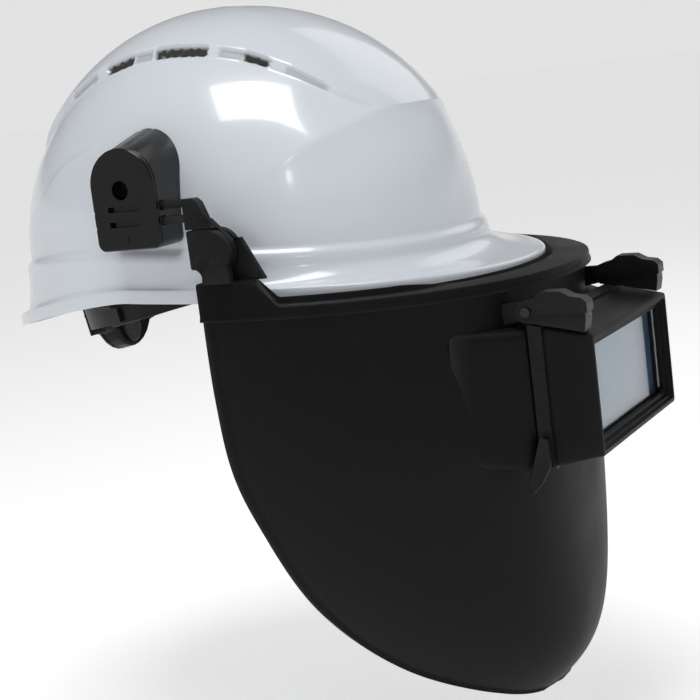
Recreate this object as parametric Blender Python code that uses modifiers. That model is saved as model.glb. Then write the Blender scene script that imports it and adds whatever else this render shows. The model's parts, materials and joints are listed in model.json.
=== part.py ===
"""A flip-front welding shield carried on a ventilated safety helmet.

Metres, +Z up. The wearer faces -Y and the wearer's right is -X. The origin is the middle of the head opening,
level with the lower rim at the wearer's temples. Lengths called "forward" are measured along -Y.
"""

import math

import bmesh
import bpy
from mathutils import Matrix, Vector

# ---------------------------------------------------------------- driving dimensions
GAP = 0.0004                     # clearance left between neighbouring pieces

SHELL_HALF_WIDTH = 0.1075        # crown at its base, without the rim
SHELL_CENTRE = 0.008             # forward place of the crown's widest section
SHELL_FRONT = 0.1095             # crown's reach forward of that section
SHELL_REAR = 0.1320              # and behind it
SHELL_TOP = 0.1388
TOP_SHIFT = 0.0143               # the crown's top stands this far behind that section
SHELL_BASE = 0.022               # height where the crown starts to curve in
SIDE_POWER = 2.08                # roundness of the crown's profiles
FRONT_POWER = 2.31
REAR_POWER = 1.76
SHELL_WALL = 0.0025
BROW_HEIGHT = 0.076              # the crease where the brow starts to flare
BROW_FLARE = 0.12                # outward slope of the brow below the crease
LEDGE = 0.003                    # step from the crown out to the rim band
RIM_HALF_WIDTH = 0.1125
RIM_FRONT = 0.1515               # the peak's tip, forward of SHELL_CENTRE
RIM_REAR = 0.1450
RIM_LIP = 0.0065                 # thickness of the rolled rim
PEAK_THINNING = 0.0035           # the rim is this much thinner at the peak
VENTS = ((-0.026, 0.017), (0.011, 0.029), (0.051, 0.012))      # forward place and length
VENT_X = (0.0555, 0.0600)
PLAN_POWER = 2.15                # squareness of the crown's plan
SHELL_COLUMNS = 40
SHELL_RINGS = 10

PIVOT = (0.052, 0.0225)          # shield axis: forward, height
FRAME_CENTRE = 0.035             # forward place of the shield's widest section
FRAME_HALF_WIDTH = 0.128
FRAME_FRONT = 0.1465
FRAME_INNER_HALF_WIDTH = 0.115
FRAME_INNER_FRONT = 0.127
FRAME_POWER = 2.1
FRAME_LEVEL = -0.0035            # height of the ring's top face beside its widest section
FRAME_SLOPE = -0.03
FRAME_SKIRT = 0.006
FRAME_PLATE = 0.0025
TAB_TOP = 0.0083
TAB_END = 0.071                  # the tab's top edge stops here
TAB_TOE = 0.082                  # and its chamfer lands here

SHIELD_TOP = 0.0062              # the shield starts this far below the rim level
SHIELD_DROP = 0.220              # from the top frame to the chin
SHIELD_HALF_WIDTH = 0.1264
SHIELD_REACH = 0.1415
SHIELD_TOP_ROLL = 0.0031         # the top edge rolls out into the ring
SHIELD_WALL = 0.002
SHIELD_CHIN_REACH = 0.1175
SHIELD_CHIN_HALF_WIDTH = 0.060
SHIELD_COLUMNS = 24
SHIELD_EDGE = ((0.0430, 0.000), (0.0430, 0.042), (0.0445, 0.078), (0.0520, 0.108), (0.0680, 0.154),
               (0.0970, 0.190), (0.1360, 0.213), (0.1500, 0.220))   # rear edge: forward, drop

HOUSING_ROOT = 0.149             # the window housing's outline is set at this forward place
HOUSING_HALF_WIDTH = 0.0830
HOUSING_TAPER = 0.80
HOUSING_HIGH = -0.0285
HOUSING_HIGH_SLOPE = 0.135
HOUSING_LOW = -0.0945
HOUSING_LOW_SLOPE = 0.23
WINDOW_FRONT = 0.1765            # front plane of the fixed window housing
OPENING_HALF_WIDTH = 0.052
OPENING_HALF_HEIGHT = 0.0228
LENS_MIDDLE = -0.0647            # height of every lens's centre
LENS_HALF_WIDTH = 0.054          # 108 mm x 51 mm plates
LENS_HALF_HEIGHT = 0.0254
FLIP_REAR = 0.1770
FLIP_FRONT = 0.2080
FLIP_PIN = (0.1776, -0.0233)     # flip axis: forward, height
FLIP_ARM_X = (0.0515, 0.0605)     # a hinge arm's inner and outer side
FORK_SLOT_X = (0.0536, 0.0584)    # the slot in it, round the knuckle
KNUCKLE_X = (0.0540, 0.0572)
PIN_BORE = 0.0018
FLIP_HALF_WIDTH = 0.0600          # the flip frame's outline at its rear
FLIP_HIGH = -0.0294
FLANGE_HIGH = -0.0286
FLIP_LOW = -0.0997
FLIP_NARROWING = 0.0020           # and how much it shrinks by its front
FLIP_FALL = 0.0062

BAND_CENTRE = 0.018              # the harness centre, behind the origin
BAND_HEIGHT = -0.0025
BAND_TILT = math.radians(-10.9)  # the nape hangs lower than the brow
BAND_RADIUS = 0.078
BAND_FRONT = 0.114
BAND_WALL = 0.002
RACK_INNER = 0.0804
RACK_OUTER = 0.0824

RACK_ROOT = 0.0062                # rack heights from the pinion's axis
RACK_TIP = 0.0054
RACK_EDGE = 0.0085
LOBE_DEPTH = 0.0245               # the ratchet housing hangs this far below the knob's axis
LOBE_ANGLE = 14.0                 # degrees either side of the knob
HOUSING_INNER = 0.0766            # the ratchet housing, its channel for the racks, and its cover
HOUSING_FLOOR = 0.0799
HOUSING_OUTER = 0.0836
COVER_OUTER = 0.0858
HOUSING_EDGE = 0.0120
CHANNEL = 0.0093
KNOB_RADIUS = 0.0125
KNOB_REACH = 0.090                # the knob's joint frame, behind the harness centre
PAD_INNER = 0.0742                # the oval pad in the lobe
PAD_MIDDLE = -0.0110
PAD_HALF_HEIGHT = 0.0110
STRAP_FOOT = 0.0310               # height where the crown straps leave the shell
ANCHORS = {"front_right": (-45, -45), "front_left": (45, 45),
           "rear_right": (-108, -92), "rear_left": (108, 92)}      # degrees on the shell, on the band
CREST_A = 0.1010
CREST_B = 0.1065

SCREW = (0.0088, 0.0552)         # adapter screw: forward, height
SCREW_RADIUS = 0.0020
ADAPTER_FACE = 0.1293            # outer face of the adapter's cover
ADAPTER_SEAM = 0.1268            # where the cover meets the body
ADAPTER_ARCH = (0.0098, 0.0180, 0.0268, 0.0750)      # middle, half width, low, high at the cover
ADAPTER_ROOT = (0.0035, 0.0198, 0.0262, 0.0840)      # and where it stands on the shell
ADAPTER_ROOT_X = 0.084
PRONGS = ((0.0446, 0.0482), (0.0374, 0.0410))
PRONG_X = (0.1222, 0.1258)

FORK_INNER = (0.1152, 0.1184)    # the lug beside the helmet
ARM_EYE = (0.1198, 0.1232)       # the arm's thin round end, between the lugs
FORK_OUTER = (0.1236, 0.1283)    # the visible outer lug
SHOULDER_X = (0.1218, 0.1270)    # the arm's thick upper plate
EYE_RADIUS = 0.0108
BORE_RADIUS = 0.0032
LUG_RADIUS = 0.0110


# ---------------------------------------------------------------- helpers
for existing in list(bpy.data.objects):
    bpy.data.objects.remove(existing, do_unlink=True)

parts = bpy.data.collections.new("welding_helmet")
cutters = bpy.data.collections.new("cutters")
bpy.context.scene.collection.children.link(parts)
bpy.context.scene.collection.children.link(cutters)


def material(name, colour, roughness, metallic=0.0, transmission=0.0):
    """A Principled material with one colour."""
    made = bpy.data.materials.new(name)
    made.use_nodes = True
    shader = made.node_tree.nodes["Principled BSDF"]
    shader.inputs["Base Color"].default_value = (*colour, 1.0)
    shader.inputs["Roughness"].default_value = roughness
    shader.inputs["Metallic"].default_value = metallic
    shader.inputs["Transmission Weight"].default_value = transmission
    return made


def at(x, forward, height):
    """A world point from a side, a forward and a height distance."""
    return Vector((x, -forward, height))


def power(value, exponent):
    """A signed power, for rounded-square outlines."""
    return math.copysign(abs(value) ** exponent, value)


def plan(half_width, front, rear, centre, squareness, angle):
    """Side and forward place on an egg-shaped outline; angle 0 faces forward."""
    length = front if math.cos(angle) > 0 else rear
    side = half_width * power(math.sin(angle), 2 / squareness)
    forward = centre + length * power(math.cos(angle), 2 / squareness)
    return side, forward


def place(bm, name, mat, home=parts):
    """Turns a bmesh into a smooth-shaded object in a collection."""
    mesh = bpy.data.meshes.new(name)
    bm.to_mesh(mesh)
    bm.free()
    mesh.shade_smooth()
    mesh.set_sharp_from_angle(angle=math.radians(35))
    if mat is not None:
        mesh.materials.append(mat)
    made = bpy.data.objects.new(name, mesh)
    home.objects.link(made)
    if home is cutters:
        hide(made)
    return made


def hide(cutter):
    """Keeps a cutter out of the finished object."""
    cutter.hide_render = True
    cutter.display_type = "WIRE"


def loft(name, rings, mat, home=parts, wrap=False, closed=True, open_ring=False):
    """A skin through rings of points, capped at both ends when closed."""
    bm = bmesh.new()
    rows = [[bm.verts.new(point) for point in ring] for ring in rings]
    count = len(rows[0])
    steps = count - 1 if open_ring else count
    spans = len(rows) if wrap else len(rows) - 1
    for row in range(spans):
        below, above = rows[row], rows[(row + 1) % len(rows)]
        for k in range(steps):
            n = (k + 1) % count
            bm.faces.new((below[k], below[n], above[n], above[k]))
    if closed and not wrap:
        bm.faces.new(rows[0][::-1])
        bm.faces.new(rows[-1])
    bmesh.ops.remove_doubles(bm, verts=bm.verts, dist=0.00001)
    if closed:
        bmesh.ops.recalc_face_normals(bm, faces=bm.faces)
    return place(bm, name, mat, home)


def plate(name, outline, low, high, axis, mat, home=parts, holes=()):
    """A flat outline carried from low to high along X, or forward; (forward, height) or (side, height)."""
    curve = bpy.data.curves.new(name, "CURVE")
    curve.dimensions = "2D"
    curve.fill_mode = "BOTH"
    curve.extrude = abs(high - low) / 2
    for loop in (outline, *holes):
        spline = curve.splines.new("POLY")
        spline.points.add(len(loop) - 1)
        spline.use_cyclic_u = True
        for point, (u, v) in zip(spline.points, loop):
            point.co = (u, v, 0, 1)
    flat = bpy.data.objects.new(name + "_curve", curve)
    bpy.context.scene.collection.objects.link(flat)
    bpy.context.view_layer.update()
    mesh = bpy.data.meshes.new_from_object(flat.evaluated_get(bpy.context.evaluated_depsgraph_get()))
    bpy.data.objects.remove(flat, do_unlink=True)
    middle = (low + high) / 2
    if axis == "X":
        turn = Matrix(((0, 0, 1, middle), (-1, 0, 0, 0), (0, 1, 0, 0), (0, 0, 0, 1)))
    else:
        turn = Matrix(((1, 0, 0, 0), (0, 0, -1, -middle), (0, 1, 0, 0), (0, 0, 0, 1)))
    bm = bmesh.new()
    bm.from_mesh(mesh)
    bpy.data.meshes.remove(mesh)
    bmesh.ops.transform(bm, matrix=turn, verts=bm.verts)
    bmesh.ops.remove_doubles(bm, verts=bm.verts, dist=0.00001)
    bmesh.ops.recalc_face_normals(bm, faces=bm.faces)
    return place(bm, name, mat, home)


def box(name, x, forward, height, mat, home=parts):
    """A block between two sides, two forward places and two heights."""
    bm = bmesh.new()
    bmesh.ops.create_cube(bm, size=1.0)
    size = (abs(x[1] - x[0]), abs(forward[1] - forward[0]), abs(height[1] - height[0]))
    bmesh.ops.scale(bm, vec=size, verts=bm.verts)
    middle = at(sum(x) / 2, sum(forward) / 2, sum(height) / 2)
    bmesh.ops.translate(bm, vec=middle, verts=bm.verts)
    return place(bm, name, mat, home)


def rod(name, start, end, radius, mat, home=parts, sides=24):
    """A capped cylinder between two points."""
    bm = bmesh.new()
    along = Vector(end) - Vector(start)
    turn = along.to_track_quat("Z", "Y").to_matrix().to_4x4()
    middle = Matrix.Translation((Vector(start) + Vector(end)) / 2)
    bmesh.ops.create_cone(bm, cap_ends=True, segments=sides, radius1=radius, radius2=radius,
                          depth=along.length, matrix=middle @ turn)
    return place(bm, name, mat, home)


def combine(target, other, operation):
    """Cuts, or joins, another object into the target with an exact Boolean."""
    if other.name in parts.objects:
        parts.objects.unlink(other)
        cutters.objects.link(other)
    hide(other)
    step = target.modifiers.new(operation.lower() + "_" + other.name, "BOOLEAN")
    step.operation = operation
    step.object = other
    step.solver = "EXACT"


def cut(target, *tools):
    for tool in tools:
        combine(target, tool, "DIFFERENCE")


def join(target, *pieces):
    for piece in pieces:
        combine(target, piece, "UNION")


def joint_frame(name, location, tilt=0.0):
    """An empty on a joint's axis."""
    empty = bpy.data.objects.new(name, None)
    parts.objects.link(empty)
    empty.empty_display_size = 0.02
    empty.location = location
    empty.rotation_euler = (tilt, 0.0, 0.0)
    return empty


def carry(empty, *pieces):
    """Parents pieces to a joint's empty without moving them."""
    bpy.context.view_layer.update()
    for piece in pieces:
        piece.parent = empty
        piece.matrix_parent_inverse = empty.matrix_world.inverted()


def arc(centre, radius, start, end, steps):
    """Points of a round stretch between two angles in degrees."""
    angles = [math.radians(start + (end - start) * k / steps) for k in range(steps + 1)]
    return [(centre[0] + radius * math.cos(a), centre[1] + radius * math.sin(a)) for a in angles]


def rectangle(half_width, half_height, middle=(0.0, 0.0)):
    u, v = middle
    return [(u - half_width, v - half_height), (u + half_width, v - half_height),
            (u + half_width, v + half_height), (u - half_width, v + half_height)]



def span(side, pair):
    """A pair of distances from the middle, on one side, lowest first."""
    return sorted((side * pair[0], side * pair[1]))


SIDES = (("right", -1), ("left", 1))

shell_white = material("shell_white", (0.80, 0.83, 0.86), 0.22)
shield_black = material("shield_black", (0.018, 0.018, 0.020), 0.55)
satin_black = material("satin_black", (0.020, 0.020, 0.022), 0.38)
harness_black = material("harness_black", (0.03, 0.03, 0.033), 0.5)
webbing = material("webbing", (0.05, 0.05, 0.055), 0.9)
foam = material("foam", (0.06, 0.06, 0.065), 0.95)
steel = material("steel", (0.55, 0.55, 0.56), 0.3, metallic=1.0)
rubber = material("rubber", (0.03, 0.03, 0.03), 0.8)
clear_plate = material("clear_plate", (0.75, 0.82, 0.88), 0.08, transmission=0.9)
filter_glass = material("filter_glass", (0.30, 0.42, 0.55), 0.1)


# ---------------------------------------------------------------- helmet shell
def ledge_height(forward):
    """The line where the crown meets the rim band dips to the front and to the rear."""
    front_dip = 0.012 * max(0.0, (forward + 0.020) / 0.144) ** 1.2
    rear_dip = 0.010 * max(0.0, (-forward - 0.030) / 0.095) ** 1.5
    return 0.0245 - front_dip - rear_dip


def rim_height(forward):
    """The top of the rolled rim: level at the temples, lower at the peak and the nape."""
    rear_dip = 0.020 * max(0.0, (-forward - 0.015) / 0.120) ** 1.35
    front_dip = 0.009 * max(0.0, (forward + 0.010) / 0.165)
    return 0.0055 - rear_dip - front_dip


def crown_plan(angle, height, grow):
    """The crown's outline at a height, grown outwards by a distance."""
    top = SHELL_TOP + grow
    rise = min(1.0, max(0.0, (height - SHELL_BASE) / (top - SHELL_BASE)))
    side = (SHELL_HALF_WIDTH + grow) * (1 - rise ** SIDE_POWER) ** (1 / SIDE_POWER)
    front = (SHELL_FRONT + grow) * (1 - rise ** FRONT_POWER) ** (1 / FRONT_POWER)
    rear = (SHELL_REAR + grow) * (1 - rise ** REAR_POWER) ** (1 / REAR_POWER)
    front += BROW_FLARE * max(0.0, BROW_HEIGHT - height) * max(0.0, math.cos(angle)) ** 2
    return plan(side, front, rear, SHELL_CENTRE - TOP_SHIFT * rise ** 2, PLAN_POWER, angle)


def shell_rings(grow):
    """Rings of the helmet's outer face, from the rim's lower edge to the crown."""
    angles = [math.tau * k / SHELL_COLUMNS for k in range(SHELL_COLUMNS)]
    lip, lip_top, gutter, band_top, ledge = [], [], [], [], []
    for a in angles:
        side, forward = plan(RIM_HALF_WIDTH + grow, RIM_FRONT + grow, RIM_REAR + grow,
                             SHELL_CENTRE, PLAN_POWER, a)
        root_side, root_forward = crown_plan(a, ledge_height(forward), grow)
        step = Vector((root_side, root_forward - SHELL_CENTRE)).normalized() * LEDGE
        rim = rim_height(forward)
        thickness = RIM_LIP - PEAK_THINNING * max(0.0, math.cos(a)) ** 2
        lip.append(at(side, forward, rim - thickness))
        lip_top.append(at(side, forward, rim))
        band_side, band_forward = root_side + step.x, root_forward + step.y
        gutter.append(at(side * 0.75 + band_side * 0.25, forward * 0.75 + band_forward * 0.25, rim + 0.0012))
        root_height = ledge_height(root_forward)
        band_top.append(at(band_side, band_forward, root_height - 0.0022))
        ledge.append(at(root_side, root_forward, root_height + 0.0010))
    rings = [lip, lip_top, gutter, band_top, ledge]
    for ring in range(1, SHELL_RINGS + 1):
        rise = math.sin(math.pi / 2 * ring / SHELL_RINGS)
        row = []
        for a in angles:
            base = ledge_height(crown_plan(a, SHELL_BASE, grow)[1])
            height = base + (SHELL_TOP + grow - base) * rise
            side, forward = crown_plan(a, height, grow)
            row.append(at(side, forward, height))
        rings.append(row)
    return rings


def make_shell():
    """The moulded shell: an open skin thickened inwards, with its vents and its screw holes."""
    shell = loft("helmet_shell", shell_rings(0.0), shell_white, closed=False)
    wall = shell.modifiers.new("wall", "SOLIDIFY")
    wall.thickness = SHELL_WALL
    wall.offset = -1.0
    for label, side in SIDES:
        for number, (middle, length) in enumerate(VENTS):
            vent = box(f"vent_{label}_{number}", span(side, VENT_X),
                       (middle - length / 2, middle + length / 2),
                       (0.080, 0.140), None, cutters)
            cut(shell, vent)
        hole = rod(f"shell_hole_{label}", at(side * 0.085, *SCREW), at(side * 0.115, *SCREW), 0.0026, None,
                   cutters)
        cut(shell, hole)
    return shell


# ---------------------------------------------------------------- side adapters
def arch(centre, half_width, low, high):
    """A tombstone outline in (forward, height): flat below, a half round on top."""
    middle = (centre, high - half_width)
    return [(centre - half_width, low), (centre + half_width, low)] + arc(middle, half_width, 0, 180, 12)


def make_adapter(label, side):
    """The block that stands on the shell, its outer cover, and the screw and nut that hold it."""
    inner = [at(side * ADAPTER_ROOT_X, f, h) for f, h in arch(*ADAPTER_ROOT)]
    outer = [at(side * ADAPTER_SEAM, f, h) for f, h in arch(*ADAPTER_ARCH)]
    body = loft(f"adapter_body_{label}", [inner, outer], satin_black)
    fit = loft(f"shell_fit_{label}", shell_rings(GAP), None, cutters, closed=False)
    cap = bmesh.new()
    cap.from_mesh(fit.data)
    bmesh.ops.holes_fill(cap, edges=[e for e in cap.edges if e.is_boundary])
    bmesh.ops.recalc_face_normals(cap, faces=cap.faces)
    cap.to_mesh(fit.data)
    cap.free()
    cut(body, fit)
    for number, (low, high) in enumerate(PRONGS):
        x = sorted((side * (PRONG_X[0] - GAP), side * (PRONG_X[1] + GAP)))
        slot = box(f"prong_slot_{label}_{number}", x, (-0.020, 0.050), (low - GAP, high + GAP), None, cutters)
        cut(body, slot)
    well = rod(f"screw_well_{label}", at(side * 0.1120, *SCREW), at(side * 0.140, *SCREW), 0.0046, None,
               cutters)
    shank_hole = rod(f"shank_hole_{label}", at(side * 0.080, *SCREW), at(side * 0.115, *SCREW), 0.0024,
                     None, cutters)
    cut(body, well, shank_hole)

    windows = [rectangle(0.0085, 0.0014, (0.0090, (low + high) / 2)) for low, high in PRONGS]
    hole = arc(SCREW, 0.0046, 0, 345, 23)
    x = sorted((side * (ADAPTER_SEAM + GAP), side * ADAPTER_FACE))
    cover = plate(f"adapter_cover_{label}", arch(*ADAPTER_ARCH), *x, "X", satin_black,
                  holes=(*windows, hole))
    screw = rod(f"adapter_screw_{label}", at(side * 0.0925, *SCREW), at(side * 0.1130, *SCREW),
                SCREW_RADIUS, steel)
    head = rod(f"screw_head_{label}", at(side * 0.1124, *SCREW), at(side * 0.1155, *SCREW), 0.0040, None,
               cutters)
    join(screw, head)
    nut = rod(f"adapter_nut_{label}", at(side * 0.0935, *SCREW), at(side * 0.0965, *SCREW), 0.0050, steel,
              sides=6)
    bore = rod(f"nut_bore_{label}", at(side * 0.090, *SCREW), at(side * 0.100, *SCREW), SCREW_RADIUS + GAP,
               None, cutters)
    cut(nut, bore)
    return [body, cover, screw, nut]


# ---------------------------------------------------------------- pivot arms
def make_pivot_arm(label, side):
    """A plate with two prongs in the adapter and a thin eye between the shield's two lugs."""
    shoulder = [(0.0405, 0.0339), (0.0555, 0.0339), (0.0525, 0.0368), (0.0508, 0.0415), (0.0490, 0.0462),
                (0.0465, 0.0484), (0.0405, 0.0484)]
    arm = plate(f"pivot_arm_{label}", shoulder, *span(side, SHOULDER_X), "X", satin_black)
    f, h = PIVOT
    eye = [(f - 0.0098, 0.0380), (f - 0.0108, h)] + arc(PIVOT, EYE_RADIUS, 180, 390, 14) + [(0.0515, 0.0380)]
    neck = plate(f"eye_{label}", eye, *span(side, ARM_EYE), "X", None, cutters)
    join(arm, neck)
    for number, prong in enumerate(PRONGS):
        bar = box(f"prong_{label}_{number}", span(side, PRONG_X), (-0.002, 0.041), prong, None, cutters)
        join(arm, bar)
    bore = rod(f"eye_bore_{label}", at(side * 0.110, f, h), at(side * 0.130, f, h), BORE_RADIUS, None,
               cutters)
    cut(arm, bore)
    return arm


def make_pivot_bolt(label, side):
    """The axle: a flat head beside the helmet and a shank through lug, washer and eye."""
    f, h = PIVOT
    bolt = rod(f"pivot_bolt_{label}", at(side * 0.1140, f, h), at(side * 0.1268, f, h), BORE_RADIUS - GAP,
               steel)
    head = rod(f"bolt_head_{label}", at(side * 0.1136, f, h), at(side * 0.1148, f, h), 0.0060, None, cutters)
    join(bolt, head)
    washer = rod(f"friction_washer_{label}", at(side * 0.11870, f, h), at(side * 0.11950, f, h), 0.0090,
                 rubber)
    hole = rod(f"washer_hole_{label}", at(side * 0.117, f, h), at(side * 0.121, f, h), BORE_RADIUS, None,
               cutters)
    cut(washer, hole)
    return bolt, washer


# ---------------------------------------------------------------- shield: top frame and body
def frame_level(forward):
    """The ring's top face, which falls a little towards the front."""
    return FRAME_LEVEL + FRAME_SLOPE * (forward - FRAME_CENTRE)


def frame_top(forward):
    """Over the pivots the ring rises into a tab."""
    level = frame_level(forward)
    if forward <= TAB_END:
        return TAB_TOP
    if forward >= TAB_TOE:
        return level
    blend = (forward - TAB_END) / (TAB_TOE - TAB_END)
    return TAB_TOP + (level - TAB_TOP) * blend


def frame_angle(forward):
    """The outline angle at which the frame's outer edge is at a forward place."""
    reach = (forward - FRAME_CENTRE) / FRAME_FRONT
    return math.acos(reach ** (FRAME_POWER / 2))


def make_top_frame():
    """The ring that carries the shield: a flat plate with a skirt, a tab and two lugs at each pivot."""
    right = [0.0425, 0.050, 0.060, TAB_END, TAB_TOE, 0.095, 0.110, 0.124, 0.137, 0.149, 0.159, 0.167,
             0.173, 0.1772, 0.1798, 0.1811]
    angles = [-frame_angle(f) for f in right] + [0.0] + [frame_angle(f) for f in reversed(right)]
    rings = []
    for a in angles:
        side, forward = plan(FRAME_HALF_WIDTH, FRAME_FRONT, 0.0, FRAME_CENTRE, FRAME_POWER, a)
        in_side, in_forward = plan(FRAME_INNER_HALF_WIDTH, FRAME_INNER_FRONT, 0.0, FRAME_CENTRE,
                                   FRAME_POWER, a)
        width = math.hypot(side - in_side, forward - in_forward)
        top, level = frame_top(forward), frame_level(forward)
        section = [(width, top), (0.0, top), (0.0, level - FRAME_SKIRT), (0.0013, level - FRAME_SKIRT),
                   (0.0013, level - FRAME_PLATE), (width, level - FRAME_PLATE)]
        ring = []
        for inset, height in section:
            mix = inset / width
            ring.append(at(side + (in_side - side) * mix, forward + (in_forward - forward) * mix, height))
        rings.append(ring)
    frame = loft("top_frame", rings, shield_black)
    f, h = PIVOT
    for label, side in SIDES:
        wedge = [(0.0415, 0.0080), (0.0745, 0.0080), (0.0640, 0.0280)] + arc(PIVOT, LUG_RADIUS, 28, 180, 10)
        inner = plate(f"inner_lug_{label}", wedge, *span(side, FORK_INNER), "X", None, cutters)
        disc = ([(0.0465, 0.0080), (0.0615, 0.0080)] + arc(PIVOT, LUG_RADIUS, -35, 90, 10)
                + [(0.0412, h + LUG_RADIUS), (0.0412, 0.0155), (0.0440, 0.0150), (0.0465, 0.0120)])
        outer = plate(f"outer_lug_{label}", disc, *span(side, FORK_OUTER), "X", None, cutters)
        join(frame, inner, outer)
        bore = rod(f"fork_bore_{label}", at(side * 0.110, f, h), at(side * 0.1272, f, h), BORE_RADIUS, None,
                   cutters)
        seat = rod(f"eye_seat_{label}", at(side * (ARM_EYE[0] - 0.0012), f, h),
                   at(side * (ARM_EYE[1] + GAP), f, h), EYE_RADIUS + 0.0006, None, cutters)
        cut(frame, seat, bore)
    return frame


def shield_size(drop):
    """Half width, reach and squareness of the shield at a share of the drop to the chin."""
    half_width = SHIELD_CHIN_HALF_WIDTH + (SHIELD_HALF_WIDTH - SHIELD_CHIN_HALF_WIDTH) * (1 - drop ** 2.5)
    reach = SHIELD_CHIN_REACH + (SHIELD_REACH - SHIELD_CHIN_REACH) * (1 - drop ** 11)
    reach += SHIELD_TOP_ROLL * max(0.0, 1 - drop / 0.10) ** 2
    squareness = FRAME_POWER + 0.35 * min(1.0, drop / 0.35)
    return half_width, reach, squareness


def curve_through(points, steps):
    """A smooth curve through hand-set points, as evenly spaced steps of each stretch."""
    padded = [points[0], *points, points[-1]]
    smooth = []
    for k in range(1, len(padded) - 2):
        before, here, there, after = (Vector(p) for p in padded[k - 1:k + 3])
        for step in range(steps):
            t = step / steps
            smooth.append(0.5 * (2 * here + (there - before) * t
                                 + (2 * before - 5 * here + 4 * there - after) * t * t
                                 + (3 * here - before - 3 * there + after) * t ** 3))
    return smooth + [Vector(points[-1])]


def section(half_width, low, high, forward):
    """A rectangle across the helmet at a forward place."""
    return [at(-half_width, forward, low), at(half_width, forward, low),
            at(half_width, forward, high), at(-half_width, forward, high)]


def window_ring(forward, inset):
    """The fixed housing's outline narrows towards its front plane."""
    reach = forward - HOUSING_ROOT
    return section(HOUSING_HALF_WIDTH - HOUSING_TAPER * reach - inset,
                   HOUSING_LOW - HOUSING_LOW_SLOPE * reach + inset,
                   HOUSING_HIGH - HOUSING_HIGH_SLOPE * reach - inset, forward)


def shield_rows(inset):
    """Rows of the shield's outer face, or of a surface a distance inside it, from the ring to the chin."""
    rows = []
    for edge, depth in curve_through(SHIELD_EDGE, 2):
        drop = depth / SHIELD_DROP
        half_width, reach, squareness = shield_size(drop)
        half_width, reach = half_width - inset, reach - inset
        last = math.acos(((edge - FRAME_CENTRE) / reach) ** (squareness / 2))
        points = []
        for column in range(SHIELD_COLUMNS + 1):
            a = last * (2 * column / SHIELD_COLUMNS - 1)
            side, forward = plan(half_width, reach, 0.0, FRAME_CENTRE, squareness, a)
            top = frame_level(forward) - FRAME_PLATE - GAP
            points.append(at(side, forward, top * (1 - drop) - (SHIELD_TOP + SHIELD_DROP) * drop))
        rows.append(points[::-1])
    return rows


def make_shield_body():
    """The curved face shield with its window housing and the two hinge knuckles."""
    shield = loft("shield_body", shield_rows(0.0), shield_black, closed=False, open_ring=True)
    wall = shield.modifiers.new("wall", "SOLIDIFY")
    wall.thickness = SHIELD_WALL
    wall.offset = -1.0

    housing = loft("window_housing", [window_ring(0.143, 0.0), window_ring(WINDOW_FRONT, 0.0)], None, cutters)
    cavity = loft("window_cavity", [window_ring(0.130, 0.0025), window_ring(0.172, 0.0025)], None, cutters)
    opening = box("window_opening", (-OPENING_HALF_WIDTH, OPENING_HALF_WIDTH), (0.160, 0.190),
                  (LENS_MIDDLE - OPENING_HALF_HEIGHT, LENS_MIDDLE + OPENING_HALF_HEIGHT), None, cutters)
    cut(housing, loft("inside_shield", shield_rows(SHIELD_WALL * 0.8)[:-3], None, cutters))
    join(shield, housing)
    for label, side in SIDES:
        pin = FLIP_PIN
        block = [(0.1605, -0.0275), (0.1605, -0.0192)] + arc(pin, 0.0042, 90, -90, 8)
        knuckle = plate(f"flip_knuckle_{label}", block, *span(side, KNUCKLE_X), "X", None, cutters)
        join(shield, knuckle)
        bore = rod(f"knuckle_bore_{label}", at(side * 0.048, *pin), at(side * 0.064, *pin), PIN_BORE, None,
                   cutters)
        cut(shield, bore)
    cut(shield, cavity, opening)
    return shield


def make_inner_lens():
    """The clear impact plate behind the fixed window, and the frame that holds it there."""
    outline = rectangle(LENS_HALF_WIDTH, LENS_HALF_HEIGHT, (0.0, LENS_MIDDLE))
    lens = plate("inner_clear_lens", outline, 0.1688, 0.1716, "Y", clear_plate)
    opening = rectangle(0.0505, 0.0220, (0.0, LENS_MIDDLE))
    retainer = plate("inner_lens_retainer", rectangle(0.0580, 0.0285, (0.0, LENS_MIDDLE)), 0.1640, 0.1684,
                     "Y", satin_black, holes=(opening,))
    return lens, retainer


# ---------------------------------------------------------------- flip front
def flip_ring(forward, inset):
    """The flip frame's outline narrows and shortens towards its front."""
    share = (forward - FLIP_REAR) / (FLIP_FRONT - FLIP_REAR)
    return section(FLIP_HALF_WIDTH - FLIP_NARROWING * share - inset, FLIP_LOW + FLIP_FALL * share + inset,
                   FLIP_HIGH - FLIP_FALL * share - inset, forward)


def make_flip_frame():
    """The lifting box: open behind, with a stepped window in front and a pull tab at its right."""
    frame = loft("flip_frame", [flip_ring(FLIP_REAR, 0.0), flip_ring(FLIP_FRONT, 0.0)], shield_black)
    flange = loft("flip_flange", [flip_ring(0.1772, -0.0008), flip_ring(0.1842, -0.0008)], None, cutters)
    join(frame, flange)
    tab = [(0.1797, -0.0835), (0.1835, -0.0835), (0.1835, -0.0960), (0.1790, -0.1040), (0.1730, -0.1105),
           (0.1710, -0.1065)]
    fin = plate("pull_fin", tab, -0.0658, -0.0640, "X", None, cutters)
    root = box("pull_root", (-0.0650, -0.0590), (0.1790, 0.1830), (-0.0955, -0.0840), None, cutters)
    join(frame, fin, root)
    hollow = loft("flip_hollow", [flip_ring(0.170, 0.0028), flip_ring(0.2018, 0.0028)], None, cutters)
    step = box("flip_window_step", (-0.0550, 0.0550), (0.2050, 0.2200),
               (LENS_MIDDLE - 0.0250, LENS_MIDDLE + 0.0250), None, cutters)
    window = box("flip_window", (-0.0525, 0.0525), (0.1950, 0.2200),
                 (LENS_MIDDLE - 0.0222, LENS_MIDDLE + 0.0222), None, cutters)
    cut(frame, hollow, step, window)
    return frame


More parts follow.
